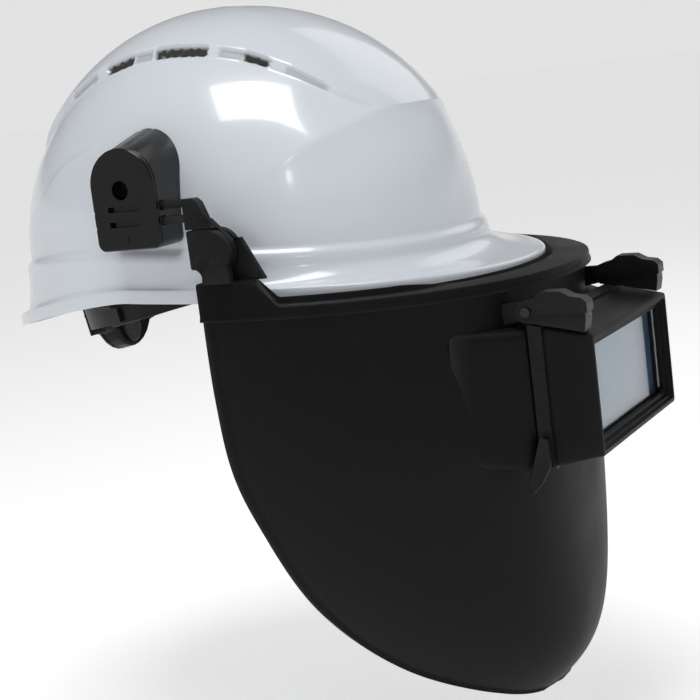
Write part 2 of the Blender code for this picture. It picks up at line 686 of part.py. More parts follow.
def make_lens_stack():
    """From the front: clear cover plate, gasket, dark filter, and the wire spring that presses them."""
    outline = rectangle(LENS_HALF_WIDTH, LENS_HALF_HEIGHT, (0.0, LENS_MIDDLE))
    cover = plate("front_cover_lens", outline, 0.1998, 0.2014, "Y", clear_plate)
    gasket = plate("lens_gasket", outline, 0.1984, 0.1994, "Y", rubber,
                   holes=(rectangle(0.0515, 0.0225, (0.0, LENS_MIDDLE)),))
    dark = plate("filter_plate", outline, 0.1950, 0.1980, "Y", filter_glass)
    curve = bpy.data.curves.new("filter_spring", "CURVE")
    curve.dimensions = "3D"
    curve.bevel_depth = 0.0008
    curve.bevel_resolution = 2
    curve.use_fill_caps = True
    legs = []
    for number in range(13):
        share = number / 12
        across = 0.1080 * (share - 0.5)
        bow = 0.0030 * math.sin(math.pi * share)
        legs.append(at(across, 0.1935 - bow, LENS_MIDDLE + 0.0235))
    route = legs + [at(0.0540, 0.1935, LENS_MIDDLE - 0.0235)]
    route += [at(p.x, -p.y, LENS_MIDDLE - 0.0235) for p in reversed(legs[:-1])]
    spline = curve.splines.new("POLY")
    spline.points.add(len(route) - 1)
    for point, target in zip(spline.points, route):
        point.co = (*target, 1)
    curve.materials.append(steel)
    spring = bpy.data.objects.new("filter_spring", curve)
    parts.objects.link(spring)
    return [cover, gasket, dark, spring]


def make_hinge_arm(label, side):
    """A long cap screwed on the flip frame's top, forked round the shield's knuckle."""
    f, h = FLIP_PIN

    def above_frame(forward):
        return FLANGE_HIGH - FLIP_FALL * (forward - FLIP_REAR) / (FLIP_FRONT - FLIP_REAR) + GAP

    profile = (arc(FLIP_PIN, 0.0055, 250, 100, 8)
               + [(f + 0.0045, h + 0.0066), (f + 0.0083, h + 0.0092), (f + 0.0175, h + 0.0090),
                  (f + 0.0220, h + 0.0065), (f + 0.0275, h + 0.0056), (f + 0.0300, h + 0.0034),
                  (f + 0.0300, h - 0.0012), (f + 0.0290, h - 0.0018), (f + 0.0290, h - 0.0050),
                  (f + 0.0278, above_frame(f + 0.0278)), (f + 0.0030, above_frame(f + 0.0030))])
    arm = plate(f"hinge_arm_{label}", profile, *span(side, FLIP_ARM_X), "X", satin_black)
    slot_outline = [(f - 0.010, h - 0.012), (f + 0.0060, h - 0.012), (f + 0.0075, h - 0.004),
                    (f + 0.0075, h + 0.0030), (f + 0.0050, h + 0.0068), (f - 0.010, h + 0.012)]
    slot = plate(f"fork_slot_{label}", slot_outline, *span(side, FORK_SLOT_X), "X", None, cutters)
    bore = rod(f"arm_bore_{label}", at(side * 0.048, f, h), at(side * 0.064, f, h), PIN_BORE, None, cutters)
    cut(arm, slot, bore)
    pin = rod(f"hinge_pin_{label}", at(side * 0.0508, f, h), at(side * 0.0611, f, h), 0.0014, steel, sides=16)
    for end, place_x in (("inner", (0.0502, 0.0511)), ("outer", (0.0609, 0.0618))):
        head = rod(f"pin_{end}_{label}", at(side * place_x[0], f, h), at(side * place_x[1], f, h), 0.0024,
                   None, cutters, sides=16)
        join(pin, head)
    washer = rod(f"hinge_washer_{label}", at(side * 0.0575, f, h), at(side * 0.0581, f, h), 0.0036, steel,
                 sides=16)
    hole = rod(f"hinge_washer_hole_{label}", at(side * 0.056, f, h), at(side * 0.060, f, h), PIN_BORE, None,
               cutters, sides=16)
    cut(washer, hole)
    return [arm, pin, washer]


# ---------------------------------------------------------------- harness
def band_point(angle, radius, height):
    """A point of the harness in its own level frame; the rear half is a true circle."""
    grow = radius - BAND_RADIUS
    side, forward = plan(radius, BAND_FRONT + grow, radius, 0.0, 2.0, angle)
    return Vector((side, -forward, height))


SETTLE = Matrix.Translation((0.0, BAND_CENTRE, BAND_HEIGHT)) @ Matrix.Rotation(BAND_TILT, 4, "X")


def settle(piece):
    """Tilts and lowers a harness piece into the helmet."""
    piece.data.transform(SETTLE)
    return piece


def band(name, start, end, steps, inner, outer, low, high, mat):
    """A strip of the harness between two angles in degrees."""
    rings = []
    for k in range(steps + 1):
        a = math.radians(start + (end - start) * k / steps)
        rings.append([band_point(a, inner, low), band_point(a, outer, low),
                      band_point(a, outer, high), band_point(a, inner, high)])
    return loft(name, rings, mat)


def make_nape_strap(label, side):
    """One end of the headband: a broad tab and a toothed rack that crosses behind the pinion."""
    rings = []

    def cross(degrees, near, far):
        """The right rack runs above the pinion, the left one below it."""
        low, high = (near, far) if side < 0 else (-far, -near)
        a = math.radians(side * degrees)
        rings.append([band_point(a, RACK_INNER, low), band_point(a, RACK_OUTER, low),
                      band_point(a, RACK_OUTER, high), band_point(a, RACK_INNER, high)])

    for degrees in (106, 113, 120, 128, 136):
        cross(degrees, -RACK_EDGE, RACK_EDGE)
    cross(140, RACK_ROOT, RACK_EDGE)
    for tooth in range(15):
        start = 142 + tooth * 3.6
        for offset, depth in ((0.0, RACK_ROOT), (0.7, RACK_TIP), (1.6, RACK_TIP), (2.3, RACK_ROOT)):
            cross(start + offset, depth, RACK_EDGE)
    cross(197, RACK_ROOT, RACK_EDGE)
    return settle(loft(f"nape_strap_{label}", rings, harness_black))


def make_bands():
    """The headband, its sweatband, and the oval pad at the nape."""
    settle(band("headband", -115, 115, 34, BAND_RADIUS, BAND_RADIUS + BAND_WALL, -0.010, 0.010,
                harness_black))
    settle(band("sweatband", -62, 62, 16, BAND_RADIUS - 0.0044, BAND_RADIUS - GAP, -0.015, 0.014, foam))
    rings = []
    for k in range(9):
        away = 6.0 * (k / 4 - 1)
        half = PAD_HALF_HEIGHT * math.sqrt(1 - (away / 6.2) ** 2)
        a = math.radians(180 + away)
        rings.append([band_point(a, PAD_INNER, PAD_MIDDLE - half),
                      band_point(a, HOUSING_INNER - GAP, PAD_MIDDLE - half),
                      band_point(a, HOUSING_INNER - GAP, PAD_MIDDLE + half),
                      band_point(a, PAD_INNER, PAD_MIDDLE + half)])
    settle(loft("nape_pad", rings, foam))


def lobe(away):
    """The ratchet housing's lower edge, which drops into a lobe behind the neck."""
    share = max(0.0, 1 - (away / LOBE_ANGLE) ** 2)
    return -HOUSING_EDGE - (LOBE_DEPTH - HOUSING_EDGE) * share ** 0.8


def axial(start, end):
    """Two points on the knob's axis, behind the harness centre."""
    return [SETTLE @ Vector((0.0, reach, 0.0)) for reach in (start, end)]


def cog(name, outer, inner, teeth, start, end, mat):
    """A toothed wheel on the knob's axis."""
    rings = []
    for reach in (start, end):
        ring = []
        for k in range(teeth * 4):
            a = math.tau * k / (teeth * 4)
            radius = outer if k % 4 < 2 else inner
            ring.append(Vector((radius * math.cos(a), reach, radius * math.sin(a))))
        rings.append(ring)
    return settle(loft(name, rings, mat))


def make_ratchet():
    """The housing with its cover, the ribbed knob, and the pinion that drives both racks."""
    channel, cover_rings = [], []
    for k in range(15):
        away = 24.0 * (k / 7 - 1)
        a, low = math.radians(180 + away), lobe(away)
        channel.append([band_point(a, r, z) for r, z in (
            (HOUSING_INNER, low), (HOUSING_OUTER, low), (HOUSING_OUTER, -CHANNEL), (HOUSING_FLOOR, -CHANNEL),
            (HOUSING_FLOOR, CHANNEL), (HOUSING_OUTER, CHANNEL), (HOUSING_OUTER, HOUSING_EDGE),
            (HOUSING_INNER, HOUSING_EDGE))])
        cover_rings.append([band_point(a, HOUSING_OUTER + GAP, low), band_point(a, COVER_OUTER, low),
                            band_point(a, COVER_OUTER, HOUSING_EDGE),
                            band_point(a, HOUSING_OUTER + GAP, HOUSING_EDGE)])
    housing = settle(loft("ratchet_housing", channel, harness_black))
    cover = settle(loft("ratchet_cover", cover_rings, harness_black))
    cut(cover, rod("knob_hole", *axial(0.080, 0.090), 0.0062, None, cutters))
    cut(housing, rod("pinion_bearing", *axial(0.0785, 0.084), 0.0030, None, cutters))

    knob = cog("adjuster_knob", KNOB_RADIUS, KNOB_RADIUS - 0.0008, 18, 0.0868, 0.0960, harness_black)
    cut(knob, rod("knob_recess", *axial(0.0935, 0.100), 0.0065, None, cutters))
    cut(knob, rod("knob_bore", *axial(0.080, 0.100), 0.0018, None, cutters))
    pinion = cog("drive_pinion", 0.0050, 0.0041, 10, 0.0803, 0.0864, harness_black)
    cut(pinion, rod("pinion_bore", *axial(0.070, 0.100), 0.0018, None, cutters))
    screw = rod("knob_screw", *axial(0.0790, 0.0945), 0.0014, steel, sides=16)
    join(screw, rod("knob_screw_head", *axial(0.0939, 0.0955), 0.0034, None, cutters, sides=16))
    return knob, pinion, screw


def make_hangers():
    """Four tongues that hook the headband to the shell; gives where the crown straps start."""
    ends = {}
    for label, (shell_angle, band_angle) in ANCHORS.items():
        side, forward = crown_plan(math.radians(shell_angle), SHELL_BASE, 0.0)
        outward = Vector((side, forward - SHELL_CENTRE)).normalized()
        wall = Vector((side, forward)) - outward * 0.0070
        grip = SETTLE @ band_point(math.radians(band_angle), BAND_RADIUS + BAND_WALL + 0.0009, 0.0)
        top, bend = at(*wall, 0.0300), at(*wall, grip.z)
        wide = Vector((outward.y, outward.x, 0.0)) * 0.0070
        inner = Vector((outward.x, -outward.y, 0.0)) * 0.0018
        rise = Vector((0.0, 0.0, 0.0018))
        foot = wide * 0.5
        tip = grip - (grip - bend).normalized() * 0.0004
        rings = [[top - wide - inner, top + wide - inner, top + wide + inner, top - wide + inner],
                 [bend - wide - inner + rise, bend + wide - inner + rise,
                  bend + wide + inner - rise, bend - wide + inner - rise],
                 [tip - foot + rise, tip + foot + rise, tip + foot - rise, tip - foot - rise]]
        loft(f"hanger_{label}", rings, harness_black)
        ends[label] = at(*(wall - outward * 0.0016), 0.0)
    return ends


def make_crown_strap(name, start, finish, crest):
    """A webbing strap that arches over the head between two hangers."""
    wide = Vector((start.y - finish.y, finish.x - start.x, 0.0)).normalized() * 0.0095
    steps = 22
    rings = []
    for k in range(steps + 1):
        u = math.sin(math.pi / 2 * (2 * k / steps - 1))
        slope = -2.4 * (crest - STRAP_FOOT) * power(u, 1.4)
        middle = (start + finish) / 2 + (finish - start) / 2 * u
        middle.z = STRAP_FOOT + (crest - STRAP_FOOT) * (1 - abs(u) ** 2.4)
        tangent = ((finish - start) / 2 + Vector((0.0, 0.0, slope))).normalized()
        normal = tangent.cross(wide).normalized() * 0.0006
        rings.append([middle - wide - normal, middle + wide - normal, middle + wide + normal,
                      middle - wide + normal])
    loft(name, rings, webbing)


# ---------------------------------------------------------------- assembly
def build():
    make_shell()
    make_bands()
    carry(joint_frame("knob_axis", SETTLE @ Vector((0.0, KNOB_REACH, 0.0)), BAND_TILT), *make_ratchet())
    for label, side in SIDES:
        carry(joint_frame(f"nape_axis_{label}", SETTLE.translation, BAND_TILT), make_nape_strap(label, side))
    ends = make_hangers()
    make_crown_strap("crown_strap_a", ends["front_right"], ends["rear_left"], CREST_A)
    make_crown_strap("crown_strap_b", ends["front_left"], ends["rear_right"], CREST_B)

    bolts = []
    for label, side in SIDES:
        make_adapter(label, side)
        arm = make_pivot_arm(label, side)
        carry(joint_frame(f"arm_slide_{label}", at(side * 0.1235, 0.040, 0.0437)), arm)
        bolts.extend(make_pivot_bolt(label, side))
    shield_axis = joint_frame("shield_axis", at(0.0, *PIVOT))
    frame = make_top_frame()
    shield = make_shield_body()
    carry(shield_axis, frame, shield, *bolts, *make_inner_lens())
    flip_axis = joint_frame("flip_axis", at(0.0, *FLIP_PIN))
    pieces = [make_flip_frame(), *make_lens_stack()]
    for label, side in SIDES:
        pieces += make_hinge_arm(label, side)
    carry(flip_axis, *pieces)


build()
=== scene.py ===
# %% [markdown]
# # A welding helmet, piece by piece
# The helmet is a hard hat with a lifting face shield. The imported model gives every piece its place, and its bodies
# already move. This lesson lays finer surfaces over that frame and gives each piece the finish it has in the hand.

# %% Load the frame
import json
import math
import bpy
import bmesh
import numpy as np
from mathutils import Matrix, Vector


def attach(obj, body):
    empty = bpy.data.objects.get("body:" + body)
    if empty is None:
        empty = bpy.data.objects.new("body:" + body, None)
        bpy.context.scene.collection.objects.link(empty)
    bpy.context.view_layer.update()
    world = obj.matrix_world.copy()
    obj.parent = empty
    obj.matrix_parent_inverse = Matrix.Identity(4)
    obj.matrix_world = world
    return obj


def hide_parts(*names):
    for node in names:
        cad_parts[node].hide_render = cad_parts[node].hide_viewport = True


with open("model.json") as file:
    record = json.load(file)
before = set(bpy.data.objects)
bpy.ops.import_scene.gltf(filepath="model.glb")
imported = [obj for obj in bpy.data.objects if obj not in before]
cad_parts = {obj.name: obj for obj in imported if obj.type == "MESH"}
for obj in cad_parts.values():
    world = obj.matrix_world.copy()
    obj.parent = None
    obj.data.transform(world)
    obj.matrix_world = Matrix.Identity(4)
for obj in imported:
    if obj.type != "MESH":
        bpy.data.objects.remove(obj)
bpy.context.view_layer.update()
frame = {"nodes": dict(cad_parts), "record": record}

BODY_OF = {node: body for body, nodes in frame["record"]["behaviour"]["bodies"].items() for node in nodes}
SLOT_OF = {entry["node"]: entry["material_slot"] for entry in frame["record"]["subparts"]}
SIDES = (("right", -1), ("left", 1))

# %% [markdown]
# ## A surface from a grid
# Almost every piece here is a grid of points bent into shape: one direction runs round the piece, the other along it.
# numpy works out all the points at once, and this helper turns such a grid into a mesh. A grid can close on itself
# in either direction, and it can carry one number per point for a material to read.


# %% Grid helper
def grid_faces(rows, columns, close_rows=False, close_columns=False):
    """Quads between neighbouring rows and columns, numbered row by row."""
    r = np.arange(rows if close_rows else rows - 1)[:, None]
    c = np.arange(columns if close_columns else columns - 1)[None, :]
    r2, c2 = (r + 1) % rows, (c + 1) % columns
    corners = [r * columns + c, r * columns + c2, r2 * columns + c2, r2 * columns + c]
    return np.stack(np.broadcast_arrays(*corners), axis=-1).reshape(-1, 4)


def mesh_object(name, points, faces, masks=None, weld=2e-5, fix_normals=True):
    """A smooth-shaded object from points and quads, with doubles merged and faces turned outwards."""
    mesh = bpy.data.meshes.new(name)
    mesh.from_pydata(points.reshape(-1, 3).tolist(), [], faces.tolist())
    for label, values in (masks or {}).items():
        layer = mesh.attributes.new(label, "FLOAT", "POINT")
        layer.data.foreach_set("value", np.ascontiguousarray(values, dtype=np.float32).ravel())
    bm = bmesh.new()
    bm.from_mesh(mesh)
    bmesh.ops.remove_doubles(bm, verts=bm.verts, dist=weld)
    if fix_normals:
        bmesh.ops.recalc_face_normals(bm, faces=bm.faces)
    bm.to_mesh(mesh)
    bm.free()
    mesh.shade_smooth()
    made = bpy.data.objects.new(name, mesh)
    bpy.context.scene.collection.objects.link(made)
    return made


def grid_object(name, grid, close_rows=False, close_columns=False, masks=None, crease=None):
    """A grid of points, shape (rows, columns, 3), as an object; crease is a sharp-edge angle in degrees."""
    rows, columns = grid.shape[:2]
    made = mesh_object(name, grid, grid_faces(rows, columns, close_rows, close_columns), masks)
    if crease:
        made.data.set_sharp_from_angle(angle=math.radians(crease))
    print(name, "has", len(made.data.polygons), "faces")
    return made


def soften_corners(rings, rounds=2):
    """Cuts the corners of a stack of rings (Chaikin's rule): each gap is split at a quarter and three quarters."""
    for _ in range(rounds):
        low, high = rings[:-1], rings[1:]
        inner = np.stack([0.75 * low + 0.25 * high, 0.25 * low + 0.75 * high], axis=1)
        rings = np.concatenate([rings[:1], inner.reshape(-1, *rings.shape[1:]), rings[-1:]])
    return rings


def smoothstep(value, low, high):
    """0 below low, 1 above high, and a smooth S between."""
    share = np.clip((value - low) / (high - low), 0.0, 1.0)
    return share * share * (3 - 2 * share)


def power(value, exponent):
    """A signed power, for rounded-square outlines."""
    return np.sign(value) * np.abs(value) ** exponent


# %% [markdown]
# ## Shader groups
# Moulded plastic is never one flat colour. Light catches a fine grain, dust sits on faces that look up, and edges are
# rubbed a little paler. Each of these is a node group here, built once and placed in every material that shows it.


# %% Node helpers
def new_group(name, inputs, outputs):
    """An empty shader group with float, colour or vector sockets."""
    group = bpy.data.node_groups.new(name, "ShaderNodeTree")
    for label, kind, value in inputs:
        socket = group.interface.new_socket(label, in_out="INPUT", socket_type=kind)
        if value is not None:
            socket.default_value = value
    for label, kind in outputs:
        group.interface.new_socket(label, in_out="OUTPUT", socket_type=kind)
    return group, group.nodes.new("NodeGroupInput"), group.nodes.new("NodeGroupOutput")


def add_node(tree, kind, **settings):
    """Adds a node; plain settings are its properties, and inputs is a dict of socket values or links."""
    inputs = settings.pop("inputs", {})
    node = tree.nodes.new(kind)
    for key, value in settings.items():
        setattr(node, key, value)
    for key, value in inputs.items():
        if isinstance(value, bpy.types.NodeSocket):
            tree.links.new(value, node.inputs[key])
        else:
            node.inputs[key].default_value = value
    return node


def maths(tree, operation, first, second=0.0, clamp=False):
    """A Math node's result."""
    node = add_node(tree, "ShaderNodeMath", operation=operation, use_clamp=clamp, inputs={0: first, 1: second})
    return node.outputs[0]


def mix_colour(tree, share, first, second):
    """Two colours mixed by a share."""
    node = add_node(tree, "ShaderNodeMix", data_type="RGBA", inputs={"Factor": share, "A": first, "B": second})
    return node.outputs["Result"]


def noise(tree, where, scale, detail=2.0, roughness=0.5):
    """A noise value in 0..1 at a scale in cycles a metre."""
    inputs = {"Vector": where, "Scale": scale, "Detail": detail, "Roughness": roughness}
    return add_node(tree, "ShaderNodeTexNoise", inputs=inputs).outputs["Fac"]


# %% The grain group
def make_grain_group():
    """Fine moulded grain: cell bumps broken up by noise, as a height and a slow mottle for colour."""
    group, entry, leave = new_group(
        "moulded_grain",
        (("Vector", "NodeSocketVector", None), ("Cells", "NodeSocketFloat", 1400.0),
         ("Mottle", "NodeSocketFloat", 30.0)),
        (("Height", "NodeSocketFloat"), ("Mottle", "NodeSocketFloat")))
    cells = add_node(group, "ShaderNodeTexVoronoi", feature="SMOOTH_F1",
                     inputs={"Vector": entry.outputs["Vector"], "Scale": entry.outputs["Cells"]})
    fine = noise(group, entry.outputs["Vector"], 2600.0, 3.0, 0.6)
    bumps = maths(group, "MULTIPLY", cells.outputs["Distance"], 0.7)
    group.links.new(maths(group, "ADD", bumps, maths(group, "MULTIPLY", fine, 0.5)), leave.inputs["Height"])
    slow = noise(group, entry.outputs["Vector"], entry.outputs["Mottle"], 4.0, 0.55)
    group.links.new(slow, leave.inputs["Mottle"])
    return group


GRAIN = make_grain_group()


# %% The edge wear group
def make_wear_group():
    """A mask of rubbed edges: where the surface turns sharply outwards, broken up by noise."""
    group, entry, leave = new_group(
        "edge_wear",
        (("Vector", "NodeSocketVector", None), ("Start", "NodeSocketFloat", 0.52), ("End", "NodeSocketFloat", 0.60),
         ("Amount", "NodeSocketFloat", 1.0)),
        (("Mask", "NodeSocketFloat"),))
    shape = add_node(group, "ShaderNodeNewGeometry")
    edge = add_node(group, "ShaderNodeMapRange", clamp=True,
                    inputs={"Value": shape.outputs["Pointiness"], "From Min": entry.outputs["Start"],
                            "From Max": entry.outputs["End"]})
    patches = maths(group, "ADD", noise(group, entry.outputs["Vector"], 260.0, 3.0), 0.25, clamp=True)
    worn = maths(group, "MULTIPLY", edge.outputs["Result"], patches)
    group.links.new(maths(group, "MULTIPLY", worn, entry.outputs["Amount"], clamp=True), leave.inputs["Mask"])
    return group


WEAR = make_wear_group()


# %% The dust group
def make_dust_group():
    """A mask of settled dust: faces that look up, thinned out by two sizes of noise."""
    group, entry, leave = new_group(
        "settled_dust",
        (("Vector", "NodeSocketVector", None), ("Amount", "NodeSocketFloat", 0.3)),
        (("Mask", "NodeSocketFloat"),))
    shape = add_node(group, "ShaderNodeNewGeometry")
    upward = add_node(group, "ShaderNodeSeparateXYZ", inputs={0: shape.outputs["Normal"]}).outputs["Z"]
    facing = add_node(group, "ShaderNodeMapRange", clamp=True,
                      inputs={"Value": upward, "From Min": 0.1, "From Max": 1.0})
    specks = add_node(group, "ShaderNodeMapRange", clamp=True,
                      inputs={"Value": noise(group, entry.outputs["Vector"], 900.0, 3.0, 0.7),
                              "From Min": 0.55, "From Max": 0.75})
    haze = noise(group, entry.outputs["Vector"], 22.0, 4.0)
    both = maths(group, "ADD", maths(group, "MULTIPLY", specks.outputs["Result"], 0.6),
                 maths(group, "MULTIPLY", haze, 0.5))
    mask = maths(group, "MULTIPLY", maths(group, "MULTIPLY", both, facing.outputs["Result"]),
                 entry.outputs["Amount"], clamp=True)
    group.links.new(mask, leave.inputs["Mask"])
    return group


DUST = make_dust_group()


# %% The weave group
def make_weave_group():
    """Crossing threads: two sets of ridges out of step, as a height; it reads a UV map in thread counts."""
    group, entry, leave = new_group("strap_weave", (("Vector", "NodeSocketVector", None),),
                                    (("Height", "NodeSocketFloat"),))
    parts = add_node(group, "ShaderNodeSeparateXYZ", inputs={0: entry.outputs["Vector"]})
    across = maths(group, "SINE", maths(group, "MULTIPLY", parts.outputs["X"], math.tau))
    along = maths(group, "SINE", maths(group, "MULTIPLY", parts.outputs["Y"], math.tau))
    product = maths(group, "MULTIPLY", across, along)
    ridges = maths(group, "ABSOLUTE", maths(group, "SINE", maths(group, "MULTIPLY", parts.outputs["Y"], math.pi)))
    group.links.new(maths(group, "ADD", maths(group, "MULTIPLY", product, 0.5), ridges), leave.inputs["Height"])
    return group


WEAVE = make_weave_group()
print("shader groups:", ", ".join(g.name for g in (GRAIN, WEAR, DUST, WEAVE)))

# %% [markdown]
# ## Finishes
# Each slot of the record has one material. The plastics are Principled shaders with their own colour and gloss, and
# the groups above add what changes over the surface. Numbers that are the same all over stay on the sockets.


# %% Material starter
def new_material(name, colour, roughness, **sockets):
    """A Principled material, with its tree, shader and object coordinates to build on."""
    made = bpy.data.materials.new(name)
    made.use_nodes = True
    made.diffuse_color = (*colour, 1.0)
    tree = made.node_tree
    shader = tree.nodes["Principled BSDF"]
    shader.inputs["Base Color"].default_value = (*colour, 1.0)
    shader.inputs["Roughness"].default_value = roughness
    for label, value in sockets.items():
        shader.inputs[label.replace("_", " ")].default_value = value
    where = add_node(tree, "ShaderNodeTexCoord").outputs["Object"]
    return made, tree, shader, where


def place_group(tree, group, where, **values):
    """A shader group in a material, fed with coordinates and its own values."""
    node = add_node(tree, "ShaderNodeGroup", node_tree=group, inputs={"Vector": where})
    for label, value in values.items():
        node.inputs[label].default_value = value
    return node.outputs


def add_bump(tree, shader, height, strength, distance):
    """A Bump node from a height to the shader's normal."""
    bump = add_node(tree, "ShaderNodeBump", inputs={"Height": height, "Strength": strength, "Distance": distance})
    tree.links.new(bump.outputs["Normal"], shader.inputs["Normal"])


# %% Black plastics
def black_plastic(name, dark, pale, roughness, spread, bump, cells=1400.0, wear=0.35, dust=0.2, coat=0.0):
    """Moulded black plastic: mottled colour, grain bump, rubbed edges and a little dust."""
    made, tree, shader, where = new_material(name, dark, roughness, Specular_IOR_Level=0.11, Coat_Weight=coat,
                                             Coat_Roughness=0.15)
    grain = place_group(tree, GRAIN, where, Cells=cells)
    worn = place_group(tree, WEAR, where, Amount=wear)["Mask"]
    dusty = place_group(tree, DUST, where, Amount=dust)["Mask"]
    base = mix_colour(tree, grain["Mottle"], (*dark, 1.0), (*pale, 1.0))
    rubbed = mix_colour(tree, worn, base, (0.085, 0.085, 0.09, 1.0))
    tree.links.new(mix_colour(tree, dusty, rubbed, (0.30, 0.29, 0.27, 1.0)), shader.inputs["Base Color"])
    gloss = add_node(tree, "ShaderNodeMapRange", clamp=True,
                     inputs={"Value": grain["Mottle"], "From Min": 0.3, "From Max": 0.7,
                             "To Min": roughness - spread, "To Max": roughness + spread})
    tree.links.new(gloss.outputs["Result"], shader.inputs["Roughness"])
    add_bump(tree, shader, grain["Height"], bump, 0.0002)
    return made


SHIELD_BLACK = black_plastic("shield_black", (0.0036, 0.0033, 0.0033), (0.0062, 0.0057, 0.0057), 0.46, 0.05, 0.55,
                             cells=1150.0, wear=0.20, dust=0.035)
SATIN_BLACK = black_plastic("satin_black", (0.0035, 0.0035, 0.0039), (0.0055, 0.0055, 0.0060), 0.34, 0.05, 0.12,
                            cells=2200.0, wear=0.25, dust=0.02, coat=0.06)
ADAPTER_BLACK = black_plastic("adapter_black", (0.0035, 0.0035, 0.0039), (0.0055, 0.0055, 0.0060), 0.24, 0.04, 0.08,
                              cells=2200.0, wear=0.0, dust=0.0, coat=0.3)
HARNESS_BLACK = black_plastic("harness_black", (0.007, 0.007, 0.0075), (0.011, 0.011, 0.0115), 0.38, 0.05, 0.2,
                              cells=1800.0, wear=0.35, dust=0.02)
RUBBER = black_plastic("rubber", (0.014, 0.014, 0.014), (0.02, 0.02, 0.02), 0.75, 0.05, 0.3, wear=0.1, dust=0.1)


# %% Glossy white shell
def make_shell_white():
    """Polished white plastic: a clear gloss, faint moulding ripple, painted shade in the vents' windows, and hairline
    scuffs.
    """
    white, grey = (0.735, 0.775, 0.825, 1.0), (0.66, 0.705, 0.76, 1.0)
    made, tree, shader, where = new_material("shell_white", white[:3], 0.26, Coat_Weight=0.55, Coat_Roughness=0.06,
                                             Specular_IOR_Level=0.5, Subsurface_Weight=0.0)
    grain = place_group(tree, GRAIN, where, Cells=900.0, Mottle=14.0)
    dusty = place_group(tree, DUST, where, Amount=0.03)["Mask"]
    vent_painted_shade = add_node(tree, "ShaderNodeAttribute", attribute_name="vent_painted_shade").outputs["Fac"]
    base = mix_colour(tree, grain["Mottle"], grey, white)
    dusted = mix_colour(tree, dusty, base, (0.55, 0.53, 0.50, 1.0))
    # painted shade: the vents' windows turn near black, for the shade inside the open vents
    tree.links.new(mix_colour(tree, vent_painted_shade, dusted, (0.022, 0.019, 0.016, 1.0)), shader.inputs["Base Color"])
    scuff = add_node(tree, "ShaderNodeMapRange", clamp=True,
                     inputs={"Value": noise(tree, where, 70.0, 6.0, 0.7), "From Min": 0.5, "From Max": 0.95,
                             "To Min": 0.22, "To Max": 0.28})
    rough = add_node(tree, "ShaderNodeMix", data_type="FLOAT",
                     inputs={"Factor": vent_painted_shade, "A": scuff.outputs["Result"], "B": 0.8})
    tree.links.new(rough.outputs["Result"], shader.inputs["Roughness"])
    add_bump(tree, shader, noise(tree, where, 55.0, 3.0), 0.05, 0.0006)
    return made


SHELL_WHITE = make_shell_white()


# %% Metal, glass, webbing and foam
def make_steel(name, dull, bright, roughness):
    """Steel with fine turning marks, brighter where it is rubbed."""
    made, tree, shader, where = new_material(name, (dull, dull, dull), roughness, Metallic=1.0)
    worn = place_group(tree, WEAR, where, Amount=0.6)["Mask"]
    tree.links.new(mix_colour(tree, worn, (dull, dull, dull * 1.02, 1.0), (bright, bright, bright * 1.02, 1.0)),
                   shader.inputs["Base Color"])
    add_bump(tree, shader, noise(tree, where, 1800.0, 4.0), 0.15, 0.0001)
    return made


def make_filter_glass_painted_reflection():
    """A tinted filter painted as a pale blue mirror: a painted reflection, brighter towards its upper edge, with
    faint streaks.
    """
    # painted reflection: the pale blue base colour stands for light reflected in the filter
    made, tree, shader, where = new_material("filter_glass", (0.15, 0.23, 0.32), 0.16, Specular_IOR_Level=0.25,
                                             Metallic=0.0)
    parts = add_node(tree, "ShaderNodeSeparateXYZ", inputs={0: where})
    # the painted reflection grows brighter towards the filter's upper edge
    slant = maths(tree, "ADD", parts.outputs["Z"], maths(tree, "MULTIPLY", parts.outputs["X"], -0.35))
    rise = add_node(tree, "ShaderNodeMapRange", clamp=True,
                    inputs={"Value": slant, "From Min": -0.105, "From Max": -0.025})
    reflection_streak = noise(tree, add_node(tree, "ShaderNodeMapping", inputs={"Vector": where, "Scale": (14.0, 1.0, 60.0)})
                   .outputs["Vector"], 1.6, 3.0)
    shade = maths(tree, "ADD", maths(tree, "MULTIPLY", rise.outputs["Result"], 0.7),
                  maths(tree, "MULTIPLY", reflection_streak, 0.35), clamp=True)
    # the two blues of the painted reflection, darker below and paler above
    tree.links.new(mix_colour(tree, shade, (0.08, 0.15, 0.25, 1.0), (0.16, 0.27, 0.39, 1.0)),
                   shader.inputs["Base Color"])
    return made


def make_clear_plate():
    """Clear polycarbonate with a faint blue edge."""
    made, tree, shader, where = new_material("clear_plate", (0.86, 0.93, 0.97), 0.04, Transmission_Weight=1.0,
                                             IOR=1.45)
    smears = noise(tree, where, 40.0, 5.0, 0.7)
    rough = add_node(tree, "ShaderNodeMapRange", clamp=True,
                     inputs={"Value": smears, "From Min": 0.4, "From Max": 0.9, "To Min": 0.03, "To Max": 0.14})
    tree.links.new(rough.outputs["Result"], shader.inputs["Roughness"])
    return made


def make_cloth(name, dark, pale, threads, height, sheen):
    """Woven cloth that reads thread counts from the piece's own UV map."""
    made, tree, shader, where = new_material(name, dark, 0.9, Sheen_Weight=sheen, Sheen_Roughness=0.4)
    uv = add_node(tree, "ShaderNodeUVMap", uv_map="cloth").outputs["UV"]
    scaled = add_node(tree, "ShaderNodeMapping", inputs={"Vector": uv, "Scale": (threads, threads, 1.0)})
    weave = add_node(tree, "ShaderNodeGroup", node_tree=WEAVE, inputs={"Vector": scaled.outputs["Vector"]})
    fuzz = noise(tree, where, 700.0, 3.0)
    shade = maths(tree, "MULTIPLY", maths(tree, "ADD", weave.outputs["Height"], fuzz), 0.5, clamp=True)
    tree.links.new(mix_colour(tree, shade, (*dark, 1.0), (*pale, 1.0)), shader.inputs["Base Color"])
    add_bump(tree, shader, weave.outputs["Height"], 0.5, height)
    return made


